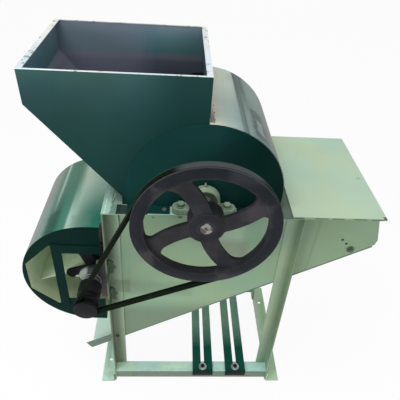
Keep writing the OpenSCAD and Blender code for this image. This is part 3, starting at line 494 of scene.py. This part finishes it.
def metal(name, colour, roughness, metallic, stretch=EVEN_GRAIN, grime=(0.1, 0.09, 0.07), grime_amount=0.3,
          patches=None, marks=()):
    """Bare or plated metal with a turned or even grain, and paint left on it in patches."""
    material, tree, bsdf, where = shader(name)
    grain = noise(tree, where, 300.0, 3.0, 0.6, stretch)
    node = use(tree, "weathered_and_lit_paint", where, Colour=colour, Top_Colour=colour, Grime=grime,
               Blotch_Scale=12.0, Blotch=0.1, Grime_Amount=grime_amount, Roughness=roughness)
    colour_out = node.outputs["Colour"]
    bsdf.inputs["Metallic"].default_value = metallic
    if patches:
        patch, level = patches
        left = ramp(tree, noise(tree, where, 55.0, 4.0, 0.7), level - 0.03, level + 0.03)
        colour_out = mix_colour(tree, left, colour_out, patch)
        bare = math_node(tree, "MULTIPLY", math_node(tree, "SUBTRACT", 1.0, left), metallic)
        tree.links.new(bare, bsdf.inputs["Metallic"])
    tree.links.new(mark_all(tree, where, colour_out, marks), bsdf.inputs["Base Color"])
    rough = math_node(tree, "ADD", node.outputs["Roughness"], math_node(tree, "MULTIPLY", grain, 0.15))
    tree.links.new(rough, bsdf.inputs["Roughness"])
    bump(tree, bsdf, grain, 0.1, GRAIN_RELIEF)
    return material


def dress(material, *names):
    """Gives CAD nodes their material."""
    for name in names:
        node = NODES[name]
        node.data.materials.clear()
        node.data.materials.append(material)


# The machine's materials, region by region


def paint_stand(side, lit_mint):
    """Rails, legs, bars and motor rails. Their upward faces take paler top colours as painted light, and the bars
    low down use lit and shaded copies of the frame paint, with much paler tops and darker sides.
    """
    dress(paint("pale_green_paint", side, DIRT, 0.4, -0.14, 5.0, 0.3, top=lit_mint, marks=(
        # Painted shadow on the rails' tops between the drum and the roof
        box((0.172, -0.26, 0.8), (0.236, 0.3, 0.9), SHADE, 0.95, 0.003),
        box((-0.2485, -0.3, 0.832), (-0.244, 0.3, 0.84), (0.1, 0.15, 0.12), 0.7, 0.001, 0.005),
        # Painted highlight: a thin lit line along the left cross rail
        box((-0.263, -0.3, 0.832), (-0.259, 0.3, 0.84), (0.7, 0.85, 0.78), 0.8, 0.002, 0.004),
        # A greyer strip beside the hopper's foot, darkened as painted shade under the hopper's overhanging wall
        box((-0.2453, -0.3, 0.8315), (-0.22, -0.17, 0.84), (0.12, 0.2, 0.165), 0.85, 0.0005),
        # Painted shadow: the front top rail's top under the hopper's foot, near black
        box((-0.232, -0.3, 0.8315), (-0.15, -0.17, 0.84), (0.002, 0.018, 0.015), 0.95, 0.0005))),
        "front_top_rail", "rear_top_rail", "left_cross_rail", "right_cross_rail", "tailboard")
    dress(paint("leg_paint", LEFT_LEG_TONES, DIRT, 0.4, -0.12, 6.0, 0.35, top=lit_mint, marks=(
        # Painted shadow of the belt on the upper part of the left leg
        box((-0.35, -0.4, 0.62), (-0.245, 0.4, 0.9), (0.11, 0.13, 0.09), 0.6, 0.03),
        box((-0.265, -0.4, 0.474), (-0.2, 0.4, 0.535), SMUDGE, 0.45, 0.004),
        # Painted shadow round the fan block's bolts in the leg's inner corner
        box((-0.288, -0.4, 0.555), (-0.25, 0.4, 0.61), BOLT_SHADE, 0.85, 0.012, 0.03),
        box((-0.288, -0.4, 0.435), (-0.25, 0.4, 0.49), BOLT_SHADE, 0.85, 0.012, 0.03),
        # A dark line in the gap between the leg's flange and the side plate: painted shade, with grime in the seam
        box((-0.2318, -0.4, 0.25), (-0.2, 0.4, 0.805), (0.015, 0.03, 0.015), 0.9, 0.0008))),
        "front_left_leg", "rear_left_leg")
    dress(paint("right_leg_paint", RIGHT_LEG_TONES, DIRT, 0.4, -0.12, 6.0, 0.35, top=lit_mint),
          "front_right_leg", "rear_right_leg")
    dress(paint("lit_green_paint", (0.17, 0.25, 0.19), OLIVE, 0.38, -0.08, 4.0, 0.25, top=(0.6, 0.9, 0.8),
                marks=(box((0.1, -0.6, -0.2), (0.6, 0.6, 0.3), (0.5, 0.65, 0.43), 0.9, 0.03),)),
          "left_base_bar", "right_base_bar")
    dress(paint("bar_paint", (0.14, 0.2, 0.15), OLIVE, 0.38, -0.1, 8.0, 0.3, top=(0.6, 0.88, 0.76)),
          "front_lower_bar", "rear_lower_bar")
    dress(paint("rail_paint", RAIL_TONES, (0.02, 0.04, 0.03), 0.45, -0.15, 8.0, 0.4, gloss=0.08, marks=(
        # Painted shade: the motor rails' front faces near black
        box((-0.1, -0.4, 0.0), (0.4, -0.2262, 0.0668), (0.001, 0.004, 0.003), 0.95, 0.0006),)),
        "left_motor_rail", "right_motor_rail")


def paint_body(side, lit_mint):
    """Side plates, sloping floor and roof of the outlet box, with paler top colours on their upward faces as painted
    light, and the floor's other faces darker as painted shade.
    """
    dress(paint("side_plate_paint", side, DIRT, 0.4, -0.14, 3.0, 0.3, top=lit_mint, inner=(0.26, 0.36, 0.25),
                middle=BODY_MIDDLE, marks=(
                    box((-0.24, -0.3, 0.468), (-0.212, -0.17, 0.53), SMUDGE, 0.45, 0.004),
                    # Painted shadow of the belt and pulley on the side plate
                    box((-0.25, -0.4, 0.44), (0.0, 0.4, 0.54), (0.12, 0.17, 0.12), 0.35, 0.04),
                    box((-0.5, -0.4, 0.0), (0.2, 0.4, 0.45), (0.13, 0.19, 0.13), 0.75, 0.09),
                    box((0.24, -0.4, 0.5), (0.7, 0.4, 0.95), (0.19, 0.28, 0.18), 0.35, 0.08),
                    # Painted reflection, pale, and painted shadow of the pulley, darker, on the plate behind the
                    # pulley
                    box((0.02, -0.4, 0.6), (0.13, 0.4, 0.78), (0.4, 0.52, 0.4), 0.4, 0.03),
                    box((0.04, -0.4, 0.62), (0.15, 0.4, 0.72), (0.2, 0.2, 0.14), 0.5, 0.03),
                    box((0.32, -0.3, 0.3), (0.334, -0.17, 0.9), (0.1, 0.14, 0.1), 0.3, 0.008))),
          "front_side_plate", "rear_side_plate")
    dress(paint("tray_paint", (0.12, 0.18, 0.145), OLIVE, 0.38, -0.08, 4.0, 0.2, top=(0.78, 0.98, 0.82)),
          "chute_floor")
    dress(paint("roof_paint", side, (0.2, 0.26, 0.18), 0.38, -0.09, 4.0, 0.14, top=(0.45, 0.6, 0.45), marks=(
        box((0.457, -0.047, 0.83), (0.474, -0.03, 0.84), (0.2, 0.28, 0.19), 0.5, 0.006, 0.012),
        box((0.4, 0.12, 0.83), (0.5, 0.25, 0.84), (0.3, 0.44, 0.3), 0.5, 0.05),
        box((0.25, -0.2, 0.83), (0.31, -0.1, 0.84), (0.55, 0.56, 0.42), 0.35, 0.03),
        box((0.4862, -0.3, 0.82), (0.49, 0.3, 0.84), (0.22, 0.17, 0.14), 0.8, 0.0008, 0.002),
        box((0.477, -0.226, 0.82), (0.49, -0.214, 0.84), (0.08, 0.05, 0.035), 0.9, 0.002, 0.008),
        box((0.23, -0.226, 0.83), (0.49, -0.2215, 0.834), (0.1, 0.11, 0.06), 0.6, 0.0006, 0.003))),
        "box_roof")


def paint_hopper():
    """The hopper's four walls, and its bare rim."""
    dress(paint("hopper_paint", HOPPER_TONES, (0.004, 0.02, 0.018), 0.5, -0.2, 5.0, 0.3, gloss=0.12,
                inner=HOPPER_INNER_TONES, middle=HOPPER_MIDDLE, marks=(
                    box((-0.3, -0.3, 0.82), (-0.2, 0.3, 0.8355), (0.3, 0.4, 0.34), 0.95, 0.0005),
                    # The pale foot of the hopper's right wall, painted far brighter than its own colour to cancel
                    # its shade: painted light
                    box((-0.0062, -0.3, 1.03), (0.02, 0.3, 1.0955), (0.92, 0.88, 0.74), 0.95, 0.001),
                    # Painted shade on the hopper's front right
                    box((-0.2, -0.6, 0.6), (0.3, -0.05, 1.33), (0.002, 0.03, 0.026), 0.75, 0.14),
                    # Painted light: a bluish paler patch on the hopper's rear left
                    box((-0.6, 0.05, 0.9), (-0.12, 0.4, 1.3), (0.24, 0.24, 0.33), 0.4, 0.1))),
          "hopper_front_wall", "hopper_rear_wall", "hopper_left_wall", "hopper_right_wall")
    dress(metal("bare_sheet_edge", (0.75, 0.8, 0.82), 0.35, 0.6, grime=(0.08, 0.14, 0.12), grime_amount=0.6,
                patches=((0.2, 0.3, 0.26), 0.6)),
          "hopper_rim")


def paint_drum(pulley_colour):
    """The drum's end plates, cover, pulley, bearing blocks and inside."""
    dress(paint("drum_plate_paint", DISC_TONES, (0.004, 0.012, 0.01), 0.5, -0.2, 5.0, 0.3, gloss=0.05),
          "front_end_plate", "rear_end_plate")
    dress(cover_paint("drum_cover_paint", DRUM_AXIS, DRUM_FRONT, DRUM_REAR, (-0.12, 0.1), (0.1, 0.14, 0.11),
                      (0.1, 0.11, 0.08), 0.008, 0.38, 0.2, 0.05, marks=(
                          box((0.104, -0.18, 0.98), (0.152, -0.02, 1.075), (0.01, 0.04, 0.035), 0.9, 0.012, 0.03),
                          box((0.118, -0.15, 1.0), (0.14, -0.075, 1.055), (0.16, 0.22, 0.2), 0.85, 0.005, 0.02))),
          "drum_cover")
    dress(paint("pulley_paint", pulley_colour, (0.05, 0.045, 0.04), 0.5, -0.5, 16.0, 0.9, gloss=0.14,
                bump_strength=0.3, marks=(
                    ring(DRUM_AXIS, 0.149, 0.19, (0.005, 0.008, 0.013), 0.8, 0.006, 0.006),
                    # Painted highlight on worn paint along the rim's outer edge
                    ring(DRUM_AXIS, 0.1784, 0.19, (0.1, 0.1, 0.11), 0.35, 0.0012, 0.0026),
                    # Painted highlight on the pulley's top
                    box((0.02, -0.5, 1.0), (0.14, 0.0, 1.2), (0.1, 0.11, 0.115), 0.15, 0.03),
                    box((0.07, -0.5, 0.885), (0.155, 0.0, 0.97), (0.055, 0.05, 0.058), 0.7, 0.03, 0.05),
                    box((-0.14, -0.5, 0.93), (-0.06, 0.0, 1.01), (0.05, 0.047, 0.052), 0.6, 0.025, 0.05),
                    box((-0.175, -0.5, 0.75), (-0.12, 0.0, 0.81), (0.055, 0.045, 0.045), 0.6, 0.02, 0.04),
                    box((-0.03, -0.5, 0.71), (0.06, 0.0, 0.79), (0.006, 0.009, 0.012), 0.6, 0.03, 0.05),
                    box((0.02, -0.5, 0.69), (0.12, 0.0, 0.74), (0.055, 0.05, 0.055), 0.5, 0.02, 0.04),
                    ring(DRUM_AXIS, 0.022, 0.046, (0.005, 0.006, 0.012), 0.55, 0.004, 0.006),
                    # Painted highlight on the hub boss's edge
                    ring(DRUM_AXIS, 0.041, 0.0445, (0.05, 0.05, 0.055), 0.5, 0.0015))),
          "drum_pulley")
    # Painted light: the blocks' upward faces take the paler top colour
    dress(paint("bearing_block_paint", (0.2, 0.3, 0.19), DIRT, 0.42, -0.2, 18.0, 0.5, top=(0.26, 0.36, 0.26),
                bump_strength=0.3, marks=(
                    ring(DRUM_AXIS, 0.012, 0.034, (0.02, 0.02, 0.018), 0.85, 0.002, 0.004),
                    box((-0.2, -0.3, 0.8), (0.2, 0.3, 0.8385), (0.1, 0.13, 0.08), 0.5, 0.003, 0.006))),
          "front_bearing_block", "rear_bearing_block")
    dress(paint("rusty_steel", (0.05, 0.035, 0.03), (0.03, 0.02, 0.015), 0.8, -0.1, 30.0, 0.6),
          "front_spider", "rear_spider", "beater_bars", "concave_grate")


def paint_fan():
    """The fan's casing, plates, bars, blocks, arms and paddles."""
    dress(paint("fan_front_paint", (0.0012, 0.019, 0.0155), (0.008, 0.014, 0.01), 0.55, -0.2, 5.0, 0.3,
                gloss=0.05),
          "fan_front_plate", "fan_guard_bars")
    dress(paint("fan_inner_paint", CREAM, (0.12, 0.17, 0.08), 0.5, -0.25, 14.0, 0.7),
          "fan_rear_plate", "fan_paddles")
    dress(cover_paint("fan_cover_paint", FAN_AXIS, FAN_FRONT, FAN_REAR, (-0.18, 0.03), CREAM,
                      (0.02, 0.05, 0.03), 0.006, 0.4, 0.14, 0.03, marks=(
                          box((-0.445, -0.25, 0.7), (-0.402, -0.11, 0.76), (0.004, 0.06, 0.038), 0.75, 0.015, 0.03),
                          box((-0.37, -0.216, 0.74), (-0.3, -0.15, 0.78), (0.14, 0.24, 0.19), 0.5, 0.018, 0.03))),
          "fan_casing")
    dress(paint("arm_paint", (0.01, 0.01, 0.012), (0.05, 0.04, 0.035), 0.5, -0.2, 12.0, 0.5, gloss=0.1,
                bump_strength=0.3),
          "fan_pulley", "front_fan_arms", "rear_fan_arms")
    dress(paint("cast_iron_grey", (0.03, 0.033, 0.035), (0.02, 0.02, 0.02), 0.55, -0.3, 20.0, 0.5,
                bump_strength=0.4, marks=(
                    ring(FAN_AXIS, 0.0235, 0.0285, (0.33, 0.34, 0.33), 0.8, 0.0015, 0.003),
                    # Painted highlight on the blocks' upper left
                    box((-0.368, -0.4, 0.57), (-0.325, -0.2, 0.65), (0.27, 0.32, 0.26), 0.8, 0.008, 0.006))),
          "fan_front_bearing_block", "fan_rear_bearing_block")


def paint_fixings():
    """Shafts, keys, bolts, pegs, nipples and the belt, and the paints of the weld beads."""
    dress(metal("turned_steel", (0.3, 0.29, 0.29), 0.42, 0.85, stretch=(1.0, 0.05, 1.0), grime_amount=0.7,
                patches=((0.06, 0.045, 0.045), 0.56)),
          "drum_shaft", "fan_shaft", "drum_inner_rings", "fan_inner_rings", "pulley_key", "fan_key")
    dress(metal("plated_bolts", (0.5, 0.51, 0.5), 0.3, 0.9, patches=((0.05, 0.08, 0.06), 0.62), marks=(
        box((-0.1, -0.3, 0.0703), (0.3, 0.3, 0.08), (0.012, 0.012, 0.014), 0.95, 0.0004),)),
        "end_plate_bolts", "motor_rail_bolts", "tailboard_rod")
    dress(metal("nipple_steel", (0.3, 0.32, 0.28), 0.4, 0.8), "grease_nipples")
    # Painted light: upward faces of the fixings take the paler top colour
    dress(paint("painted_fixings", (0.1, 0.16, 0.09), (0.02, 0.035, 0.02), 0.5, -0.3, 60.0, 0.9,
                top=(0.3, 0.42, 0.3), marks=(
                    # Painted shade on the fan block's bolts in the leg's inner corner
                    box((-0.5, -0.4, 0.2), (-0.15, 0.4, 0.7), (0.02, 0.055, 0.022), 0.85, 0.02),)),
          "bearing_bolts", "tray_bolts")
    dress(paint("peg_paint", (0.09, 0.13, 0.08), (0.02, 0.025, 0.02), 0.5, -0.4, 90.0, 0.8, bump_strength=0.4),
          "tailboard_pegs")
    dress(paint("belt_rubber", (0.003, 0.008, 0.003), (0.03, 0.04, 0.025), 0.65, -0.2, 20.0, 0.4, gloss=0.06,
                # Painted highlight on the belt where it runs over the top of the pulley
                marks=(box((-0.09, -0.5, 1.0), (0.16, 0.0, 1.2), (0.07, 0.08, 0.08), 0.8, 0.03),)),
          "drive_belt")
    # Painted light: upward faces of the beads take the paler top colour
    paint("painted_weld", (0.24, 0.36, 0.23), (0.05, 0.06, 0.04), 0.5, -0.3, 60.0, 0.7, top=(0.36, 0.52, 0.4),
          bump_strength=0.5)
    paint("raw_weld", (0.07, 0.08, 0.07), (0.02, 0.02, 0.015), 0.6, -0.2, 60.0, 0.7)


# Pieces made from the CAD nodes and beside them


def body_of(node):
    """The body that a CAD node moves with."""
    for body, names in frame["record"]["behaviour"]["bodies"].items():
        if node in names:
            return body
    raise RuntimeError("no body holds %s" % node)


def round_corners(node, width, segments=2, angle=35.0):
    """A CAD node's shape with its sharp corners rounded, to stand in for it."""
    material = NODES[node].data.materials[0]
    deselect()
    piece = bpy.data.objects.new(node + "_rounded", NODES[node].data.copy())
    bpy.context.scene.collection.objects.link(piece)
    bpy.context.view_layer.objects.active = piece
    piece.select_set(True)
    bpy.ops.object.mode_set(mode="EDIT")
    bpy.ops.mesh.select_all(action="SELECT")
    bpy.ops.mesh.remove_doubles(threshold=MERGE_DISTANCE)
    bpy.ops.mesh.dissolve_limited(angle_limit=math.radians(FLAT_ANGLE))
    bpy.ops.object.mode_set(mode="OBJECT")
    bevel = piece.modifiers.new("corner", "BEVEL")
    bevel.width = width
    bevel.segments = segments
    bevel.limit_method = "ANGLE"
    bevel.angle_limit = math.radians(angle)
    bpy.ops.object.modifier_apply(modifier="corner")
    bpy.ops.object.shade_smooth_by_angle(angle=math.radians(SMOOTH_ANGLE))
    piece.data.materials.clear()
    piece.data.materials.append(material)
    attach(piece, body_of(node))
    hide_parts(node)


def weld_line(name, start, end, body, material, radius):
    """A weld bead: flattened drops of metal laid one over the other from start to end."""
    deselect()
    start, end = Vector(start), Vector(end)
    run = end - start
    pitch = radius * BEAD_PITCH
    bpy.ops.mesh.primitive_uv_sphere_add(segments=10, ring_count=6, radius=radius)
    bead = bpy.context.object
    bead.name = name
    bpy.ops.object.mode_set(mode="EDIT")
    bpy.ops.mesh.select_all(action="SELECT")
    bpy.ops.transform.resize(value=BEAD_SQUASH)
    bpy.ops.object.mode_set(mode="OBJECT")
    repeat = bead.modifiers.new("drops", "ARRAY")
    repeat.use_relative_offset = False
    repeat.use_constant_offset = True
    repeat.constant_offset_displace = (pitch, 0.0, 0.0)
    repeat.count = max(2, int(run.length / pitch))
    bpy.ops.object.modifier_apply(modifier="drops")
    bpy.ops.object.shade_smooth()
    bead.matrix_world = Matrix.Translation(start) @ run.to_track_quat("X", "Z").to_matrix().to_4x4()
    settle(bead)
    bead.data.materials.append(material)
    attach(bead, body)


# Floor, room, lamps and camera


def lay_floor():
    """A plain pale floor, which the camera and reflections see as even white."""
    deselect()
    bpy.ops.mesh.primitive_plane_add(size=FLOOR_SIZE, location=(0.0, 0.0, -FLOOR_DROP))
    floor = bpy.context.object
    floor.name = "floor"
    material = bpy.data.materials.new("pale_floor")
    material.use_nodes = True
    tree = material.node_tree
    tree.nodes.clear()
    out = tree.nodes.new("ShaderNodeOutputMaterial")
    diffuse = tree.nodes.new("ShaderNodeBsdfDiffuse")
    diffuse.inputs["Color"].default_value = rgba((FLOOR_WHITE, FLOOR_WHITE, FLOOR_WHITE))
    glow = tree.nodes.new("ShaderNodeEmission")
    glow.inputs["Color"].default_value = rgba(WHITE)
    path = tree.nodes.new("ShaderNodeLightPath")
    seen = math_node(tree, "MAXIMUM", path.outputs["Is Camera Ray"], path.outputs["Is Glossy Ray"])
    mixer = tree.nodes.new("ShaderNodeMixShader")
    tree.links.new(math_node(tree, "MULTIPLY", seen, FLOOR_GLOW), mixer.inputs[0])
    tree.links.new(diffuse.outputs[0], mixer.inputs[1])
    tree.links.new(glow.outputs[0], mixer.inputs[2])
    tree.links.new(mixer.outputs[0], out.inputs["Surface"])
    floor.data.materials.append(material)


def light_room(scene, strength):
    """Even light from all round, which the camera and reflections see as white."""
    world = bpy.data.worlds.new("soft_room")
    scene.world = world
    world.use_nodes = True
    tree = world.node_tree
    tree.nodes.clear()
    out = tree.nodes.new("ShaderNodeOutputWorld")
    room = tree.nodes.new("ShaderNodeBackground")
    room.inputs["Color"].default_value = rgba(ROOM_COLOUR)
    room.inputs["Strength"].default_value = strength
    white = tree.nodes.new("ShaderNodeBackground")
    white.inputs["Strength"].default_value = 1.0
    path = tree.nodes.new("ShaderNodeLightPath")
    seen = math_node(tree, "MAXIMUM", path.outputs["Is Glossy Ray"], path.outputs["Is Transmission Ray"])
    seen = math_node(tree, "MAXIMUM", path.outputs["Is Camera Ray"], seen)
    mixer = tree.nodes.new("ShaderNodeMixShader")
    tree.links.new(seen, mixer.inputs[0])
    tree.links.new(room.outputs[0], mixer.inputs[1])
    tree.links.new(white.outputs[0], mixer.inputs[2])
    tree.links.new(mixer.outputs[0], out.inputs["Surface"])


def hang_lamps(scene, key_power):
    """Soft round lamps."""
    for name, place, aim, size, share in LAMPS:
        lamp = bpy.data.lights.new(name, "AREA")
        lamp.shape = "DISK"
        lamp.size = size
        lamp.energy = key_power * share
        obj = bpy.data.objects.new(name, lamp)
        obj.location = place
        obj.rotation_euler = (Vector(aim) - Vector(place)).to_track_quat("-Z", "Y").to_euler()
        scene.collection.objects.link(obj)


def set_camera(scene, settings):
    """The camera at the photograph's angle."""
    camera = bpy.data.cameras.new("camera")
    camera.lens = settings.lens
    camera.sensor_width = SENSOR_WIDTH
    camera.clip_start = 0.05
    camera.clip_end = 60.0
    eye = bpy.data.objects.new("camera", camera)
    scene.collection.objects.link(eye)
    pitch, yaw, roll = settings.pitch, settings.yaw, settings.roll
    ahead = Vector((math.sin(yaw) * math.cos(pitch), math.cos(yaw) * math.cos(pitch), -math.sin(pitch)))
    right = Vector((math.cos(yaw), -math.sin(yaw), 0.0))
    down = ahead.cross(right)
    rolled_right = math.cos(roll) * right + math.sin(roll) * down
    rolled_down = math.cos(roll) * down - math.sin(roll) * right
    turn = Matrix((rolled_right, -rolled_down, -ahead)).transposed().to_4x4()
    eye.matrix_world = Matrix.Translation(Vector(settings.camera_place)) @ turn
    scene.camera = eye


class MachineColours(bpy.types.PropertyGroup):
    """Paint colours of the machine that one value sets."""

    frame_green: bpy.props.FloatVectorProperty(
        name="Frame paint", description="Pale green of the top rails, side plates and roof", subtype="COLOR", size=3,
        default=(0.27, 0.4, 0.255), min=0.0, max=1.0)
    # Painted light: the paler green that faces looking up take
    lit_top_green: bpy.props.FloatVectorProperty(
        name="Lit paint", description="Minty green of the faces that look up", subtype="COLOR", size=3,
        default=(0.4, 0.6, 0.48), min=0.0, max=1.0)
    pulley_black: bpy.props.FloatVectorProperty(
        name="Pulley paint", description="Near black of the large pulley", subtype="COLOR", size=3,
        default=(0.027, 0.026, 0.031), min=0.0, max=1.0)


class StageSettings(bpy.types.PropertyGroup):
    """Camera and light of the stage."""

    lens: bpy.props.FloatProperty(
        name="Lens", description="Focal length on a 36 mm sensor", default=37.84, min=20.0, max=80.0,
        unit="CAMERA")
    camera_place: bpy.props.FloatVectorProperty(
        name="Camera", description="Place of the camera", size=3, subtype="TRANSLATION", unit="LENGTH",
        default=(-0.0804, -1.0460, 1.5474))
    pitch: bpy.props.FloatProperty(
        name="Pitch", description="Camera's tilt below the horizon", default=math.radians(38.73),
        unit="ROTATION")
    yaw: bpy.props.FloatProperty(
        name="Yaw", description="Camera's turn to the right", default=math.radians(4.39), unit="ROTATION")
    roll: bpy.props.FloatProperty(
        name="Roll", description="Camera's roll", default=math.radians(-4.26), unit="ROTATION")
    key_power: bpy.props.FloatProperty(
        name="Key light", description="Power of the large soft lamp", default=34.0, min=0.0, unit="POWER")
    world_strength: bpy.props.FloatProperty(
        name="Sky", description="Strength of the even light from all round", default=0.55, min=0.0, max=2.0)


class MACHINE_OT_paints(bpy.types.Operator):
    """Gives every CAD node its procedural paint or metal"""

    bl_idname = "machine.paints"
    bl_label = "Paints and metals"

    def execute(self, context):
        for build in (paint_effect, inside_effect, turn_effect, box_effect, ring_effect):
            build()
        colours = context.scene.machine_colours
        side, lit_mint = tuple(colours.frame_green), tuple(colours.lit_top_green)
        paint_stand(side, lit_mint)
        paint_body(side, lit_mint)
        paint_hopper()
        paint_drum(tuple(colours.pulley_black))
        paint_fan()
        paint_fixings()
        for name, node in NODES.items():
            if len(node.data.materials) != 1 or node.data.materials[0].node_tree is None:
                raise RuntimeError("node %s has no paint" % name)
        return {"FINISHED"}


class MACHINE_OT_frame_bars(bpy.types.Operator):
    """Rolls the corners of the angles and motor rails"""

    bl_idname = "machine.frame_bars"
    bl_label = "Frame bars"

    def execute(self, context):
        for node in ("front_top_rail", "rear_top_rail", "left_cross_rail", "right_cross_rail", "front_left_leg",
                     "front_right_leg", "rear_left_leg", "rear_right_leg", "front_lower_bar", "rear_lower_bar",
                     "left_base_bar", "right_base_bar", "left_motor_rail", "right_motor_rail"):
            round_corners(node, BAR_CORNER)
        return {"FINISHED"}


class MACHINE_OT_castings(bpy.types.Operator):
    """Rounds the bearing blocks, the pulleys and the arms as castings are"""

    bl_idname = "machine.castings"
    bl_label = "Castings"

    def execute(self, context):
        for node in ("front_bearing_block", "rear_bearing_block", "fan_front_bearing_block",
                     "fan_rear_bearing_block"):
            round_corners(node, BLOCK_CORNER, 3)
        for node in ("drum_pulley", "fan_pulley"):
            round_corners(node, PULLEY_CORNER)
        for node in ("front_fan_arms", "rear_fan_arms", "beater_bars", "front_spider", "rear_spider"):
            round_corners(node, ARM_CORNER, 1)
        return {"FINISHED"}


class MACHINE_OT_fixings(bpy.types.Operator):
    """Rounds the edges of the bolts, nuts, washers, pegs and nipples"""

    bl_idname = "machine.fixings"
    bl_label = "Fixings"

    def execute(self, context):
        for node in ("bearing_bolts", "motor_rail_bolts", "end_plate_bolts", "tailboard_pegs", "tray_bolts",
                     "grease_nipples"):
            round_corners(node, FIXING_CORNER, angle=25.0)
        return {"FINISHED"}


class MACHINE_OT_welds(bpy.types.Operator):
    """Lays the weld beads at the joints of the frame and the tack welds on the sheets"""

    bl_idname = "machine.welds"
    bl_label = "Welds"

    def execute(self, context):
        painted = bpy.data.materials["painted_weld"]
        raw = bpy.data.materials["raw_weld"]
        beads = []
        for side, out in (("front", -1.0), ("rear", 1.0)):
            face = MIDDLE_Y + out * HALF_WIDTH
            for end, sign in (("left", -1.0), ("right", 1.0)):
                beads.append(("weld_bar_%s_%s" % (side, end), (sign * (LEG_EDGE - 0.0035), face, BAR_WELD_LOW),
                              (sign * (LEG_EDGE - 0.0045), face, BAR_WELD_HIGH), painted, 0.0026))
                foot, inward = sign * BASE_EDGE, face - out * FOOT_WELD_LENGTH
                beads.append(("weld_foot_%s_%s" % (side, end), (foot, face, FOOT_WELD_HEIGHT),
                              (foot, inward, FOOT_WELD_HEIGHT), painted, 0.003))
            beads.append(("weld_roof_%s" % side, (ROOF_WELD_LEFT, face, ROOF_WELD_HEIGHT),
                          (ROOF_WELD_RIGHT, face, ROOF_WELD_HEIGHT), raw, 0.0022))
            for i, (x, length) in enumerate(ROOF_TACKS):
                beads.append(("tack_roof_%s_%d" % (side, i), (x, face, ROOF_TACK_HEIGHT),
                              (x + length, face, ROOF_TACK_HEIGHT), raw, 0.0013))
        for i in range(ROW_COUNT):
            y = ROW_START + i * ROW_PITCH
            length = 0.003 + 0.002 * (i % 3)
            beads.append(("tack_cover_%d" % i, (COVER_EDGE_X, y, COVER_EDGE_Z),
                          (COVER_EDGE_X, y + length, COVER_EDGE_Z), raw, 0.0012))
            beads.append(("weld_hopper_foot_%d" % i, (HOPPER_FOOT_X, y, HOPPER_FOOT_Z),
                          (HOPPER_FOOT_X, y + HOPPER_WELD_LENGTH, HOPPER_FOOT_Z), raw, 0.0014))
        for name, start, end, material, radius in beads:
            weld_line(name, start, end, "frame", material, radius)
        return {"FINISHED"}


class MACHINE_OT_stage(bpy.types.Operator):
    """Lays the pale floor, hangs the lamps and sets the camera at the photograph's angle"""

    bl_idname = "machine.stage"
    bl_label = "Stage"

    def execute(self, context):
        scene = context.scene
        settings = scene.stage_settings
        lay_floor()
        light_room(scene, settings.world_strength)
        hang_lamps(scene, settings.key_power)
        set_camera(scene, settings)
        scene.view_settings.view_transform = "Standard"
        return {"FINISHED"}


class MACHINE_PT_panel(bpy.types.Panel):
    """Lists the steps that dress the machine"""

    bl_idname = "MACHINE_PT_panel"
    bl_label = "Shelling machine"
    bl_space_type = "VIEW_3D"
    bl_region_type = "UI"
    bl_category = "Machine"

    def draw(self, context):
        for step in STEPS:
            self.layout.operator(step.bl_idname)
        for settings in (context.scene.machine_colours, context.scene.stage_settings):
            for key in settings.__annotations__:
                self.layout.prop(settings, key)


STEPS = (MACHINE_OT_paints, MACHINE_OT_frame_bars, MACHINE_OT_castings, MACHINE_OT_fixings, MACHINE_OT_welds,
         MACHINE_OT_stage)
CLASSES = (MachineColours, StageSettings) + STEPS + (MACHINE_PT_panel,)


def register():
    """Adds the classes and the settings to Blender."""
    for item in CLASSES:
        bpy.utils.register_class(item)
    bpy.types.Scene.machine_colours = bpy.props.PointerProperty(type=MachineColours)
    bpy.types.Scene.stage_settings = bpy.props.PointerProperty(type=StageSettings)


def unregister():
    """Takes the settings and the classes out again."""
    del bpy.types.Scene.machine_colours
    del bpy.types.Scene.stage_settings
    for item in reversed(CLASSES):
        bpy.utils.unregister_class(item)


def main():
    """Calls the steps in order."""
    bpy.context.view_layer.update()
    register()
    for step in STEPS:
        area, name = step.bl_idname.split(".")
        getattr(getattr(bpy.ops, area), name)()


if __name__ == "__main__":
    main()
